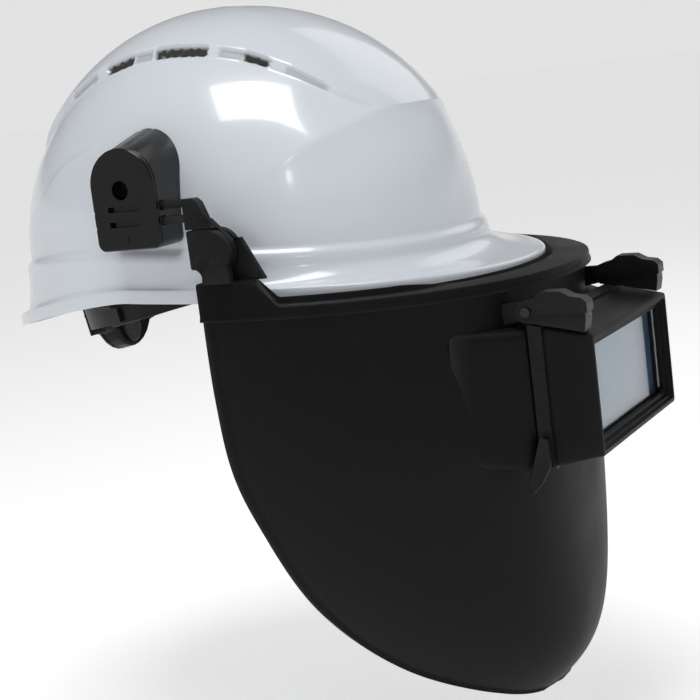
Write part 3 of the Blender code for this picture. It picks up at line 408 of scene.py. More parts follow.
STEEL = make_steel("steel", 0.52, 0.75, 0.32)
BLACKENED = make_steel("blackened_steel", 0.03, 0.10, 0.42)
# the filter's colour is a painted reflection
FILTER_GLASS_PAINTED_REFLECTION = make_filter_glass_painted_reflection()
CLEAR_PLATE = make_clear_plate()
WEBBING = make_cloth("webbing", (0.018, 0.018, 0.02), (0.055, 0.055, 0.06), 700.0, 0.0003, 0.3)
FOAM = make_cloth("foam", (0.014, 0.014, 0.016), (0.04, 0.04, 0.044), 1100.0, 0.0002, 0.5)
FINISH = {"shell_white": SHELL_WHITE, "shield_black": SHIELD_BLACK, "satin_black": SATIN_BLACK,
          "harness_black": HARNESS_BLACK, "webbing": WEBBING, "foam": FOAM, "steel": STEEL, "rubber": RUBBER,
          "clear_plate": CLEAR_PLATE, "filter_glass": FILTER_GLASS_PAINTED_REFLECTION}
print("finishes:", ", ".join(FINISH))


# %% Putting a new piece in the frame's place
def stand_for(piece, *nodes):
    """The piece takes its nodes' place, body and finish."""
    piece.data.materials.clear()
    piece.data.materials.append(FINISH[SLOT_OF[nodes[0]]])
    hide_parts(*nodes)
    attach(piece, BODY_OF[nodes[0]])
    return piece


# %% [markdown]
# ## The hard hat's shell
# The shell is one glossy moulding. Its crown is an egg-shaped dome with a raised panel down the middle. The panel's
# side drops in a narrow wall that holds the vents, and in front the panel ends at a crease above the brow. Rings of
# the grid run along both of those lines, so they stay crisp, and all the rest is a smooth dome.

# %% Shell sizes
SHELL_HALF_WIDTH, SHELL_CENTRE, SHELL_FRONT, SHELL_REAR = 0.1075, 0.008, 0.1095, 0.1320
SHELL_TOP, SHELL_BASE, TOP_SHIFT = 0.1388, 0.022, 0.0143
SIDE_POWER, FRONT_POWER, REAR_POWER, PLAN_POWER = 2.08, 2.31, 1.76, 2.15
BROW_HEIGHT, BROW_FLARE = 0.076, 0.12
RIM_HALF_WIDTH, RIM_FRONT, RIM_REAR, RIM_LIP = 0.1125, 0.1515, 0.1450, 0.0065
LEDGE, SHELL_WALL = 0.003, 0.0025
SHELL_COLUMNS = 432
# where the raised panel's edge runs: round angle from the front in degrees, height on the crown
PANEL_EDGE = ((0, 0.0770), (14, 0.0765), (24, 0.0790), (33, 0.0905), (42, 0.1020), (54, 0.1120), (70, 0.1180),
              (86, 0.1200), (103, 0.1188), (122, 0.1130), (138, 0.1010), (150, 0.0860), (164, 0.0680), (180, 0.0620))


# %% Crown formula
def ledge_height(forward):
    """The line where the crown meets the rim band dips to the front and to the rear."""
    front_dip = 0.012 * np.maximum(0.0, (forward + 0.020) / 0.144) ** 1.2
    rear_dip = 0.010 * np.maximum(0.0, (-forward - 0.030) / 0.095) ** 1.5
    return 0.0245 - front_dip - rear_dip


def rim_height(forward):
    """The top of the rolled rim: level at the temples, lower at the peak and the nape."""
    rear_dip = 0.020 * np.maximum(0.0, (-forward - 0.015) / 0.120) ** 1.35
    front_dip = 0.009 * np.maximum(0.0, (forward + 0.010) / 0.165)
    return 0.0055 - rear_dip - front_dip


def egg(half_width, front, rear, centre, squareness, angle):
    """Side and forward place on a squared egg: half_width sin^(2/n), front or rear cos^(2/n)."""
    length = np.where(np.cos(angle) > 0, front, rear)
    return (half_width * power(np.sin(angle), 2 / squareness),
            centre + length * power(np.cos(angle), 2 / squareness))


def crown_plan(angle, height, grow=0.0):
    """Each half length shrinks with height as (1 - rise^n)^(1/n); the brow flares out under its crease."""
    top = SHELL_TOP + grow
    rise = np.clip((height - SHELL_BASE) / (top - SHELL_BASE), 0.0, 1.0)
    side, front, rear = ((size + grow) * (1 - rise ** n) ** (1 / n) for size, n in
                         ((SHELL_HALF_WIDTH, SIDE_POWER), (SHELL_FRONT, FRONT_POWER), (SHELL_REAR, REAR_POWER)))
    front = front + BROW_FLARE * np.maximum(0.0, BROW_HEIGHT - height) * np.maximum(0.0, np.cos(angle)) ** 2
    return egg(side, front, rear, SHELL_CENTRE - TOP_SHIFT * rise ** 2, PLAN_POWER, angle)


def rim_rings(angle, grow):
    """Rings from the rim's lip up to the ledge: lip, gutter, upright band and ledge."""
    side, forward = egg(RIM_HALF_WIDTH + grow, RIM_FRONT + grow, RIM_REAR + grow, SHELL_CENTRE, PLAN_POWER, angle)
    root_side, root_forward = crown_plan(angle, ledge_height(forward), grow)
    away = np.hypot(root_side, root_forward - SHELL_CENTRE)
    band_side = root_side * (1 + LEDGE / away)
    band_forward = root_forward + (root_forward - SHELL_CENTRE) * LEDGE / away
    rim = rim_height(forward)
    lip = rim - RIM_LIP + 0.0035 * np.maximum(0.0, np.cos(angle)) ** 2
    root = ledge_height(root_forward)

    def between(share):
        """A place part of the way from the rim to the band."""
        return side + (band_side - side) * share, forward + (band_forward - forward) * share

    stations = [(*between(0.0), lip), (*between(0.0), rim - 0.0006), (*between(0.10), rim + 0.0004),
                (*between(0.45), rim + 0.0010), (*between(0.72), rim + 0.0030),
                (*between(1.0), rim * 0.5 + root * 0.5), (band_side, band_forward, root - 0.0022),
                (root_side, root_forward, root + 0.0010)]
    return np.stack([np.stack([s, -f, h], axis=-1) for s, f, h in stations])


# %% Shell surface
def crown_height(angle, share):
    """Height of a crown ring: a quarter sine from the ledge (share 0) to the top (share 1)."""
    base = ledge_height(crown_plan(angle, SHELL_BASE)[1])
    return base + (SHELL_TOP - base) * np.sin(math.pi / 2 * share)


def share_at(angle, height):
    """The share of a crown ring at a height, undoing crown_height."""
    base = ledge_height(crown_plan(angle, SHELL_BASE)[1])
    return np.arcsin(np.clip((height - base) / (SHELL_TOP - base), 0.0, 1.0)) * 2 / math.pi


def crown_rings(angle, grow=0.0):
    """Crown rings that follow the panel's edge, with how far up each one is: below the wall, on it, or above."""
    around = np.degrees(np.arccos(np.clip(np.cos(angle), -1, 1)))
    knots = np.array(PANEL_EDGE)
    upper = np.interp(around, knots[:, 0], knots[:, 1])
    kernel = np.hanning(19)
    upper = np.convolve(np.concatenate([upper[-9:], upper, upper[:9]]), kernel / kernel.sum(), "valid")
    wall_drop = 0.0004 + 0.0042 * smoothstep(around, 16, 44) * (1 - 0.55 * smoothstep(around, 125, 175))
    low, high = share_at(angle, upper - wall_drop), share_at(angle, upper)
    shares, marks = [], []
    for k in range(1, 61):
        shares.append(low * k / 60)
        marks.append(k / 60)
    for k in range(1, 9):
        shares.append(low + (high - low) * k / 8)
        marks.append(1 + k / 8)
    for k in range(1, 53):
        shares.append(high + (1 - high) * k / 52)
        marks.append(2 + k / 52)
    rings = []
    for share in shares:
        height = crown_height(angle, share)
        side, forward = crown_plan(angle, np.minimum(height, SHELL_TOP), grow)
        rings.append(np.stack([side, -forward, height + grow * share], axis=-1))
    return np.stack(rings), np.array(marks), around


def grid_normals(grid):
    """Unit normals of a grid that closes on itself along its columns."""
    along = np.gradient(grid, axis=0)
    across = np.roll(grid, -1, axis=1) - np.roll(grid, 1, axis=1)
    normal = np.cross(across, along)
    length = np.linalg.norm(normal, axis=-1, keepdims=True)
    return np.divide(normal, length, out=np.zeros_like(normal), where=length > 1e-12)


# where the crease over the brow runs: round angle from the front in degrees, height on the crown
BROW_CREASE = ((0, 0.0768), (14, 0.0763), (20, 0.0758), (31, 0.0714), (41, 0.0666), (49, 0.0625), (66, 0.0500))
VENT_WINDOWS = ((-0.062, -0.043, 0.30), (-0.0345, -0.0178, 1.0), (-0.0165, -0.0062, 0.30), (-0.0035, 0.0255, 1.0),
                (0.0325, 0.0445, 0.26), (0.0452, 0.0575, 1.0), (0.066, 0.083, 0.22))


def shape_crown(grid, marks, around):
    """Raises the panel, sinks the vents' windows into its wall, and adds the soft creases; also gives the mask of the
    vents' painted shade.
    """
    forward, side, height = -grid[..., 1], np.abs(grid[..., 0]), grid[..., 2]
    marks = marks[:, None]
    fade = smoothstep(around, 17, 40)[None, :]
    rise = np.clip(marks - 1.0, 0.0, 1.0)
    settle = 1 - 0.75 * smoothstep(marks, 2.0, 2.8)
    lift = 0.0017 * fade * rise * settle - 0.0012 * fade * (1 - rise) * smoothstep(marks, 0.55, 1.0)
    above = height - np.interp(around, *zip(*BROW_CREASE))[None, :]
    reach = np.where(above > 0, 0.022, 0.0075)
    brow = 0.0032 * (1 - smoothstep(around, 40, 66))[None, :] * np.exp((0.0004 - np.hypot(above, 0.0004)) / reach)
    crease_line = np.interp(forward, (-0.098, -0.079, -0.055, -0.032, -0.010), (0.036, 0.049, 0.066, 0.075, 0.080))
    behind = smoothstep(forward, -0.105, -0.085) * (1 - smoothstep(forward, -0.030, -0.008))
    crease = 0.0011 * behind * (1 - smoothstep(height - crease_line, -0.0008, 0.0022))
    crease = crease * smoothstep(height, 0.026, 0.045) * (side > 0.03)
    # the mask sinks the vents' windows and also marks where the shell's material paints shade into them
    mask = np.zeros_like(forward)
    in_wall = smoothstep(marks, 1.10, 1.22) * (1 - smoothstep(marks, 1.78, 1.90))
    for start, end, depth in VENT_WINDOWS:
        begun = smoothstep(forward, start - 0.0005, start + 0.0005)
        ended = smoothstep(forward, end - 0.0005, end + 0.0005)
        inside = begun * (1 - ended)
        mask = np.maximum(mask, inside * in_wall * depth)
    sunk = -0.0022 * np.minimum(1.0, mask * 3.0)
    ribs = 0.0009 * (mask > 0.9) * (np.cos(forward * math.tau / 0.0052) > 0.35)
    moved = grid + grid_normals(grid) * (lift + brow + crease + sunk + ribs)[..., None]
    return moved, mask


def make_shell():
    """The outer skin with its features, then the inner skin an even wall inside it, welded at lip and top."""
    angle = math.tau * np.arange(SHELL_COLUMNS) / SHELL_COLUMNS
    crown, marks, around = crown_rings(angle)
    crown, vent_painted_shade = shape_crown(crown, marks, around)
    rim = rim_rings(angle, 0.0)
    join = soften_corners(np.concatenate([rim, crown[1:2]]), 2)
    outer = np.concatenate([join, crown[2:]])
    inside_rim = rim_rings(angle, -SHELL_WALL)[:-1]
    inside_rim[0, :, 2] += 0.0002
    steps = np.linspace(0.02, 1.0, 30)
    inside_crown = []
    for share in steps:
        height = crown_height(angle, share)
        side, forward = crown_plan(angle, height, 0.0)
        ring = np.stack([side, -forward, height], axis=-1)
        inside_crown.append(ring)
    inside_crown = np.stack(inside_crown)
    inside_crown = inside_crown - grid_normals(inside_crown) * (SHELL_WALL + 0.0008)
    inside_crown[-1] = inside_crown[-1].mean(axis=0)
    inside = np.concatenate([inside_rim, inside_crown])
    grid = np.concatenate([inside[::-1], outer])
    # the mask of the vents' painted shade, on the outer crown only
    mask = np.concatenate([np.zeros((len(inside) + len(join), SHELL_COLUMNS)), vent_painted_shade[2:]])
    shell = grid_object("shell", grid, close_columns=True, masks={"vent_painted_shade": mask})
    shell.data.set_sharp_from_angle(angle=math.radians(38))
    return stand_for(shell, "helmet_shell")


make_shell()

# %% [markdown]
# ## The face shield
# The shield is a thin skin that curves round the face and narrows to the chin. Its edge is rolled into a bead that
# stiffens it. In front the skin stands out in a housing with a window, and the lifting frame closes against it.

# %% Shield sizes
FRAME_CENTRE, FRAME_HALF_WIDTH, FRAME_FRONT, FRAME_POWER = 0.035, 0.128, 0.1465, 2.1
FRAME_INNER_HALF_WIDTH, FRAME_INNER_FRONT = 0.115, 0.127
FRAME_LEVEL, FRAME_SLOPE, FRAME_SKIRT, FRAME_PLATE = -0.0035, -0.03, 0.006, 0.0025
TAB_TOP, TAB_END, TAB_TOE = 0.0083, 0.071, 0.082
PIVOT = (0.052, 0.0225)
SHIELD_DROP, SHIELD_WALL, SHIELD_TOP, SHIELD_TOP_ROLL = 0.220, 0.002, 0.0062, 0.0031
CHIN_REACH, CHIN_HALF_WIDTH, SHIELD_HALF_WIDTH, SHIELD_REACH = 0.1175, 0.060, 0.1264, 0.1415
SHIELD_EDGE = ((0.0430, 0.000), (0.0430, 0.042), (0.0445, 0.078), (0.0520, 0.108), (0.0680, 0.154),
               (0.0970, 0.190), (0.1360, 0.213), (0.1500, 0.220))
GAP = 0.0004


# %% Shield skin
def frame_level(forward):
    """The ring's top face falls a little towards the front."""
    return FRAME_LEVEL + FRAME_SLOPE * (forward - FRAME_CENTRE)


def spline_through(points, count):
    """A smooth Catmull-Rom curve through given points, read at evenly spaced places along it."""
    p = np.array([points[0], *points, points[-1]], dtype=float)
    spans = len(points) - 1
    t = np.linspace(0, spans, 40 * spans + 1)
    k = np.minimum(t.astype(int), spans - 1)
    t = (t - k)[:, None]
    a, b, c, d = p[k], p[k + 1], p[k + 2], p[k + 3]
    curve = 0.5 * (2 * b + (c - a) * t + (2 * a - 5 * b + 4 * c - d) * t ** 2 + (3 * b - a - 3 * c + d) * t ** 3)
    run = np.concatenate([[0], np.cumsum(np.linalg.norm(np.diff(curve, axis=0), axis=1))])
    even = np.linspace(0, run[-1], count)
    return np.stack([np.interp(even, run, curve[:, n]) for n in range(curve.shape[1])], axis=-1)


def shield_skin(rows=150, columns=220, inset=0.0):
    """Rows from the ring to the chin; in each, the angle runs from edge to edge of a squared half oval."""
    edge, depth = spline_through(SHIELD_EDGE, rows).T
    drop = (depth / SHIELD_DROP)[:, None]
    half_width = CHIN_HALF_WIDTH + (SHIELD_HALF_WIDTH - CHIN_HALF_WIDTH) * (1 - drop ** 2.5) - inset
    reach = CHIN_REACH + (SHIELD_REACH - CHIN_REACH) * (1 - drop ** 11) - inset
    reach = reach + SHIELD_TOP_ROLL * np.maximum(0.0, 1 - drop / 0.10) ** 2
    squareness = FRAME_POWER + 0.35 * np.minimum(1.0, drop / 0.35)
    last = np.arccos(((edge[:, None] - FRAME_CENTRE) / reach) ** (squareness / 2))
    angle = last * np.linspace(-1, 1, columns)[None, :]
    side = half_width * power(np.sin(angle), 2 / squareness)
    forward = FRAME_CENTRE + reach * power(np.cos(angle), 2 / squareness)
    top = frame_level(forward) - FRAME_PLATE - GAP
    height = top * (1 - drop) - (SHIELD_TOP + SHIELD_DROP) * drop
    return np.stack([side, -forward, height], axis=-1)


def edge_distance(grid):
    """How far each point is from the nearest of the side and chin edges, along the surface."""
    across = np.linalg.norm(np.diff(grid, axis=1), axis=-1)
    from_left = np.concatenate([np.zeros((len(grid), 1)), np.cumsum(across, axis=1)], axis=1)
    from_right = from_left[:, -1:] - from_left
    down = np.linalg.norm(np.diff(grid, axis=0), axis=-1)
    run = np.concatenate([np.zeros((1, grid.shape[1])), np.cumsum(down, axis=0)])
    return np.minimum(np.minimum(from_left, from_right), run[-1:] - run)


def sheet_normals(grid):
    """Unit normals of an open grid, pointing away from the head."""
    normal = np.cross(np.gradient(grid, axis=1), np.gradient(grid, axis=0))
    normal /= np.linalg.norm(normal, axis=-1, keepdims=True)
    outward = grid * (1, 1, 0) - np.array([0, -FRAME_CENTRE, 0])
    return normal * np.where((normal * outward).sum(axis=-1, keepdims=True) < 0, -1.0, 1.0)


# %% Window housing
HOUSING_ROOT, HOUSING_HALF_WIDTH, HOUSING_TAPER = 0.149, 0.0830, 0.80
HOUSING_HIGH, HOUSING_HIGH_SLOPE, HOUSING_LOW, HOUSING_LOW_SLOPE = -0.0285, 0.135, -0.0945, 0.23
WINDOW_FRONT, LENS_MIDDLE = 0.1765, -0.0647


def rounded_loop(half_width, low, high, forward, radius, corner=8, side_steps=10):
    """A rectangle with round corners across the helmet, as a closed ring of points that runs the same way round."""
    radius = min(radius, half_width * 0.98, (high - low) * 0.49)
    centres = ((half_width - radius, high - radius, 0), (radius - half_width, high - radius, 90),
               (radius - half_width, low + radius, 180), (half_width - radius, low + radius, 270))
    points = []
    for n, (x, z, start) in enumerate(centres):
        turn = np.radians(start + np.linspace(0, 90, corner + 1))
        arc = np.stack([x + radius * np.cos(turn), z + radius * np.sin(turn)], axis=-1)
        points.append(arc)
        nx, nz, nstart = centres[(n + 1) % 4]
        begin = np.array([nx + radius * math.cos(math.radians(nstart)), nz + radius * math.sin(math.radians(nstart))])
        share = np.linspace(0, 1, side_steps + 1)[1:-1, None]
        points.append(arc[-1] * (1 - share) + begin * share)
    flat = np.concatenate(points)
    return np.stack([flat[:, 0], np.full(len(flat), -forward), flat[:, 1]], axis=-1)


def housing_loop(forward, inset, radius):
    """The fixed housing's outline narrows towards its front plane."""
    reach = forward - HOUSING_ROOT
    return rounded_loop(HOUSING_HALF_WIDTH - HOUSING_TAPER * reach - inset,
                        HOUSING_LOW - HOUSING_LOW_SLOPE * reach + inset,
                        HOUSING_HIGH - HOUSING_HIGH_SLOPE * reach - inset, forward, radius)


def make_housing():
    """The outer walls, the front plate with its window, and the inner walls, as one closed tube of loops."""
    stations = [(0.1475, 0.0, 0.006), (0.1520, 0.0, 0.006), (0.1600, 0.0, 0.0055), (0.1680, 0.0, 0.005),
                (0.1740, 0.0, 0.0045), (0.1757, 0.0001, 0.0045), (WINDOW_FRONT - 0.0002, 0.0005, 0.0044),
                (WINDOW_FRONT, 0.0012, 0.0042)]
    loops = [housing_loop(*station) for station in stations]
    for forward, half_width, half_height, radius in (
            (WINDOW_FRONT, 0.0526, 0.0234, 0.003), (WINDOW_FRONT - 0.0004, 0.0521, 0.0229, 0.003),
            (0.1724, 0.0520, 0.0228, 0.003), (0.1720, 0.0524, 0.0232, 0.003)):
        loops.append(rounded_loop(half_width, LENS_MIDDLE - half_height, LENS_MIDDLE + half_height, forward, radius))
    loops += [housing_loop(0.1720, 0.0030, 0.003), housing_loop(0.1712, 0.0026, 0.0032),
              housing_loop(0.1475, 0.0025, 0.0035)]
    housing = grid_object("window_housing", np.stack(loops), close_rows=True, close_columns=True, crease=40)
    return housing


def cut_window(skin, inset):
    """Finds the skin's points that lie inside the housing: the mask tells which faces are left out."""
    side, forward, height = np.abs(skin[..., 0]), -skin[..., 1], skin[..., 2]
    reach = forward - HOUSING_ROOT
    wide = HOUSING_HALF_WIDTH - HOUSING_TAPER * reach - inset
    high = HOUSING_HIGH - HOUSING_HIGH_SLOPE * reach - inset
    low = HOUSING_LOW - HOUSING_LOW_SLOPE * reach + inset
    return (side < wide) & (height < high) & (height > low) & (forward > 0.12)


def make_shield():
    """The skin with its bead and its window hole, thickened inwards."""
    outer = shield_skin()
    normal = sheet_normals(outer)
    away = edge_distance(outer)
    bead = 0.0010 * np.exp(-((away - 0.0016) / 0.0014) ** 2) - 0.0005 * np.exp(-((away - 0.0058) / 0.0010) ** 2)
    outer = outer + normal * bead[..., None]
    inner = outer - normal * SHIELD_WALL
    hole = cut_window(outer, 0.0016)
    rows, columns = outer.shape[:2]
    faces = grid_faces(rows, columns)
    keep = ~hole.reshape(-1)[faces].all(axis=1)
    front = faces[keep]
    back = front[:, ::-1] + rows * columns
    edges = np.concatenate([front[:, [n, (n + 1) % 4]] for n in range(4)])
    key = np.sort(edges, axis=1)
    _, first, counts = np.unique(key[:, 0] * rows * columns + key[:, 1], return_index=True, return_counts=True)
    border = edges[first[counts == 1]]
    start, end = border[:, 0], border[:, 1]
    wall = np.stack([end, start, start + rows * columns, end + rows * columns], axis=1)
    points = np.concatenate([outer.reshape(-1, 3), inner.reshape(-1, 3)])
    used, index = np.unique(np.concatenate([front, back, wall]), return_inverse=True)
    skin = mesh_object("shield_skin", points[used], index.reshape(-1, 4))
    skin.data.set_sharp_from_angle(angle=math.radians(50))
    print("shield_skin has", len(skin.data.polygons), "faces")
    return skin


def knuckle(label, side):
    """One hinge knuckle: a plate with a round end that the lifting frame's pin passes through."""
    pin = np.array((0.1776, -0.0233))
    turn = np.radians(np.linspace(90, -90, 13))
    nose = pin + 0.0042 * np.stack([np.cos(turn), np.sin(turn)], axis=-1)
    outline = np.concatenate([[(0.1600, -0.0300), (0.1600, -0.0215), (0.1640, -0.0193)], nose, [(0.1640, -0.0300)]])
    return extrude_outline(f"flip_knuckle_{label}", outline, side * 0.0540, side * 0.0572, 0.0003)


def extrude_outline(name, outline, start, end, round_off):
    """A flat outline of (forward, height) carried along X, with its rims cut back by a small chamfer."""
    outline = np.asarray(outline, dtype=float)
    middle = outline.mean(axis=0)
    turn = np.roll(outline, -1, axis=0) - np.roll(outline, 1, axis=0)
    normal = np.stack([turn[:, 1], -turn[:, 0]], axis=-1)
    normal /= np.linalg.norm(normal, axis=1, keepdims=True)
    area = (outline[:, 0] * np.roll(outline[:, 1], -1) - np.roll(outline[:, 0], -1) * outline[:, 1]).sum()
    normal = normal if area > 0 else -normal
    step = round_off * (1 if end > start else -1)
    rings = []
    for x, inset in ((start, round_off), (start + step, 0.0), (end - step, 0.0), (end, round_off)):
        flat = outline - normal * inset
        rings.append(np.stack([np.full(len(flat), x), -flat[:, 0], flat[:, 1]], axis=-1))
    for x, where in ((start, 0), (end, len(rings))):
        hub = np.broadcast_to((x, -middle[0], middle[1]), rings[0].shape).copy()
        rings.insert(where if where == 0 else len(rings), hub)
    return grid_object(name, np.stack(rings), close_columns=True, crease=35)


stand_for(make_shield(), "shield_body")
SHIELD_PIECES = [make_housing(), *(knuckle(label, side) for label, side in SIDES)]
for piece in SHIELD_PIECES:
    piece.data.materials.append(SHIELD_BLACK)
    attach(piece, "shield")

# %% [markdown]
# ## The ring and its lugs
# A flat ring runs round the front of the hat and carries the shield. Its section is a plate with a skirt, swept along
# the same squared oval. Beside each pivot the ring rises into a tab, and two lugs stand on it like a fork.


# %% Ring
INNER_LIP = 0.0028


def frame_angle(forward):
    """The outline angle at which the ring's outer edge is at a forward place."""
    return math.acos(((forward - FRAME_CENTRE) / FRAME_FRONT) ** (FRAME_POWER / 2))


def make_ring():
    """Each column is one section of the ring: skirt, lip, rounded top edge, and plate."""
    angle = np.linspace(-frame_angle(0.0425), frame_angle(0.0425), 330)
    side, forward = egg(FRAME_HALF_WIDTH, FRAME_FRONT, 0.0, FRAME_CENTRE, FRAME_POWER, angle)
    in_side, in_forward = egg(FRAME_INNER_HALF_WIDTH, FRAME_INNER_FRONT, 0.0, FRAME_CENTRE, FRAME_POWER, angle)
    width = np.hypot(side - in_side, forward - in_forward)
    level = frame_level(forward)
    tab = np.clip((TAB_TOE - forward) / (TAB_TOE - TAB_END), 0.0, 1.0)
    top = level + (TAB_TOP - level) * tab
    low = level - FRAME_SKIRT
    lip = top + INNER_LIP * (1 - smoothstep(forward, 0.138, 0.166)) * (1 - tab)
    edge = 0.0 * width
    section = ((width, level - FRAME_PLATE), (width, lip - 0.0006), (width - 0.0006, lip), (width - 0.0014, lip),
               (width - 0.0024, top + 0.0002), (width - 0.0034, top), (edge + 0.0012, top),
               (edge + 0.0003, top - 0.0004), (edge, top - 0.0014), (edge, low + 0.0022),
               (edge - 0.0005, low + 0.0014), (edge - 0.0007, low + 0.0003), (edge - 0.0003, low),
               (edge + 0.0011, low), (edge + 0.0013, low + 0.0003), (edge + 0.0013, level - FRAME_PLATE))
    rings = []
    for inset, height in section:
        mix = inset / width
        x, y = side + (in_side - side) * mix, -forward - (in_forward - forward) * mix
        rings.append(np.stack([x, y, height], axis=-1))
    grid = np.stack(rings, axis=1)
    caps = [np.broadcast_to(end.mean(axis=0), end.shape)[None] for end in (grid[0], grid[-1])]
    grid = np.concatenate([caps[0], grid, caps[1]])
    return stand_for(grid_object("shield_ring", grid, close_columns=True, crease=32), "top_frame")


def arc_points(centre, radius, start, end, steps):
    """Points on a round stretch between two angles in degrees."""
    turn = np.radians(np.linspace(start, end, steps + 1))
    return np.stack([centre[0] + radius * np.cos(turn), centre[1] + radius * np.sin(turn)], axis=-1)


def make_lugs(label, side):
    """The wedge beside the hat and the disc outside the arm, with its stop hook."""
    height = PIVOT[1]
    wedge = np.concatenate([[(0.0415, 0.0078), (0.0745, 0.0078), (0.0640, 0.0280)],
                            arc_points(PIVOT, 0.0110, 28, 180, 20)])
    disc = np.concatenate([[(0.0465, 0.0078), (0.0615, 0.0078)], arc_points(PIVOT, 0.0110, -35, 88, 22),
                           [(0.0420, height + 0.0110), (0.0412, height + 0.0102), (0.0412, 0.0160), (0.0418, 0.0152),
                            (0.0440, 0.0150), (0.0456, 0.0136), (0.0465, 0.0120)]])
    return [extrude_outline(f"wedge_lug_{label}", wedge, side * 0.1152, side * 0.1184, 0.0005),
            extrude_outline(f"disc_lug_{label}", disc, side * 0.1236, side * 0.1283, 0.0006)]


make_ring()
for label, side in SIDES:
    for lug in make_lugs(label, side):
        lug.data.materials.append(SHIELD_BLACK)
        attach(lug, "shield")

# %% [markdown]
# ## The lifting frame
# The lens frame is a shallow box, open behind, that hinges up off the window. Its rear has a flange, and its front
# steps in three times to the glass. One closed tube of rounded rectangles gives all of that, inside and out.

# %% Lifting frame
FLIP_REAR, FLIP_FRONT, FLIP_HALF_WIDTH, FLIP_HIGH, FLIP_LOW = 0.1770, 0.2080, 0.0600, -0.0294, -0.0997
FLIP_NARROWING, FLIP_FALL = 0.0020, 0.0062


def flip_loop(forward, inset, radius):
    """The frame's outline narrows and shortens towards its front."""
    share = (forward - FLIP_REAR) / (FLIP_FRONT - FLIP_REAR)
    return rounded_loop(FLIP_HALF_WIDTH - FLIP_NARROWING * share - inset, FLIP_LOW + FLIP_FALL * share + inset,
                        FLIP_HIGH - FLIP_FALL * share - inset, forward, radius, corner=6, side_steps=8)


def window_loop(share, forward, radius=0.0022):
    """A loop part of the way from the frame's front edge to the window's edge."""
    outer = np.array((0.0580, -0.0935, -0.0356))
    inner = np.array((0.0525, LENS_MIDDLE - 0.0222, LENS_MIDDLE + 0.0222))
    half_width, low, high = outer + (inner - outer) * share
    return rounded_loop(half_width, low, high, forward, radius, corner=6, side_steps=8)


def make_flip_frame():
    """Outside from the rear flange to the front rim, down the three steps, and back along the inside."""
    loops = [flip_loop(0.1772, -0.0006, 0.0024), flip_loop(0.1774, -0.0008, 0.0024),
             flip_loop(0.1840, -0.0008, 0.0024), flip_loop(0.1842, -0.0005, 0.0022),
             flip_loop(0.1845, 0.0003, 0.0020), flip_loop(0.1851, 0.0003, 0.0020), flip_loop(0.1854, 0.0, 0.0020),
             flip_loop(0.1960, 0.0, 0.0020), flip_loop(0.2072, 0.0, 0.0020), flip_loop(0.2078, 0.0003, 0.0019),
             flip_loop(FLIP_FRONT, 0.0009, 0.0018)]
    for share, forward in ((0.34, FLIP_FRONT), (0.38, 0.2077), (0.40, 0.2066), (0.44, 0.2062), (0.60, 0.2062),
                           (0.64, 0.2059), (0.66, 0.2046), (0.70, 0.2042), (0.94, 0.2042), (0.99, 0.2040),
                           (1.0, 0.2034), (1.0, 0.2019)):
        loops.append(window_loop(share, forward, 0.0020 - 0.0009 * share))
    loops += [flip_loop(0.2018, 0.0032, 0.001), flip_loop(0.2012, 0.0028, 0.001), flip_loop(0.1772, 0.0028, 0.001)]
    return stand_for(grid_object("flip_box", np.stack(loops), close_rows=True, close_columns=True, crease=30),
                     "flip_frame")


def make_pull_tab():
    """A thin fin at the wearer's right that a gloved finger lifts, on a small root."""
    fin = np.array([(0.1797, -0.0820), (0.1835, -0.0835), (0.1838, -0.0960), (0.1795, -0.1035), (0.1740, -0.1098),
                    (0.1730, -0.1104), (0.1718, -0.1086), (0.1712, -0.1066)])
    tab = extrude_outline("pull_tab", fin, -0.0658, -0.0640, 0.0004)
    root = extrude_outline("pull_root", np.array([(0.1790, -0.0955), (0.1830, -0.0955), (0.1830, -0.0840),
                                                  (0.1790, -0.0840)]), -0.0652, -0.0600, 0.0004)
    return [tab, root]


make_flip_frame()
for piece in make_pull_tab():
    piece.data.materials.append(SHIELD_BLACK)
    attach(piece, "flip")

# %% [markdown]
# ## The side adapters
# A tombstone-shaped block stands on each side of the hat and holds the arm's two prongs. Its wall tapers out to the
# shell, so each line of the wall is run inwards until it meets the dome. The cover is a plate with the real openings.

# %% Adapter sizes
SCREW = (0.0088, 0.0552)
ADAPTER_SEAM, ADAPTER_FACE = 0.1268, 0.1293
PRONG_HEIGHTS = (0.0464, 0.0392)


def tombstone(centre, half_width, low, high, corner=0.0040, crown_steps=40):
    """Round above, with rounded lower corners, as (forward, height)."""
    arch = arc_points((centre, high - half_width), half_width, 0, 180, crown_steps)
    left = arc_points((centre - half_width + corner, low + corner), corner, 180, 270, 8)
    right = arc_points((centre + half_width - corner, low + corner), corner, 270, 360, 8)
    base = np.linspace(left[-1], right[0], 12)[1:-1]
    rise_left = np.linspace(arch[-1], left[0], 12)[1:-1]
    rise_right = np.linspace(right[-1], arch[0], 12)[1:-1]
    return np.concatenate([arch, rise_left, left, base, right, rise_right])


def crown_side(forward, height):
    """Half width of the dome at a place: the squared egg solved for its side."""
    rise = np.clip((height - SHELL_BASE) / (SHELL_TOP - SHELL_BASE), 0.0, 1.0)
    half = SHELL_HALF_WIDTH * (1 - rise ** SIDE_POWER) ** (1 / SIDE_POWER)
    front = SHELL_FRONT * (1 - rise ** FRONT_POWER) ** (1 / FRONT_POWER)
    rear = SHELL_REAR * (1 - rise ** REAR_POWER) ** (1 / REAR_POWER)
    offset = forward - (SHELL_CENTRE - TOP_SHIFT * rise ** 2)
    share = np.abs(offset) / np.where(offset > 0, front, rear)
    return half * np.clip(1 - share ** PLAN_POWER, 0, 1) ** (1 / PLAN_POWER)


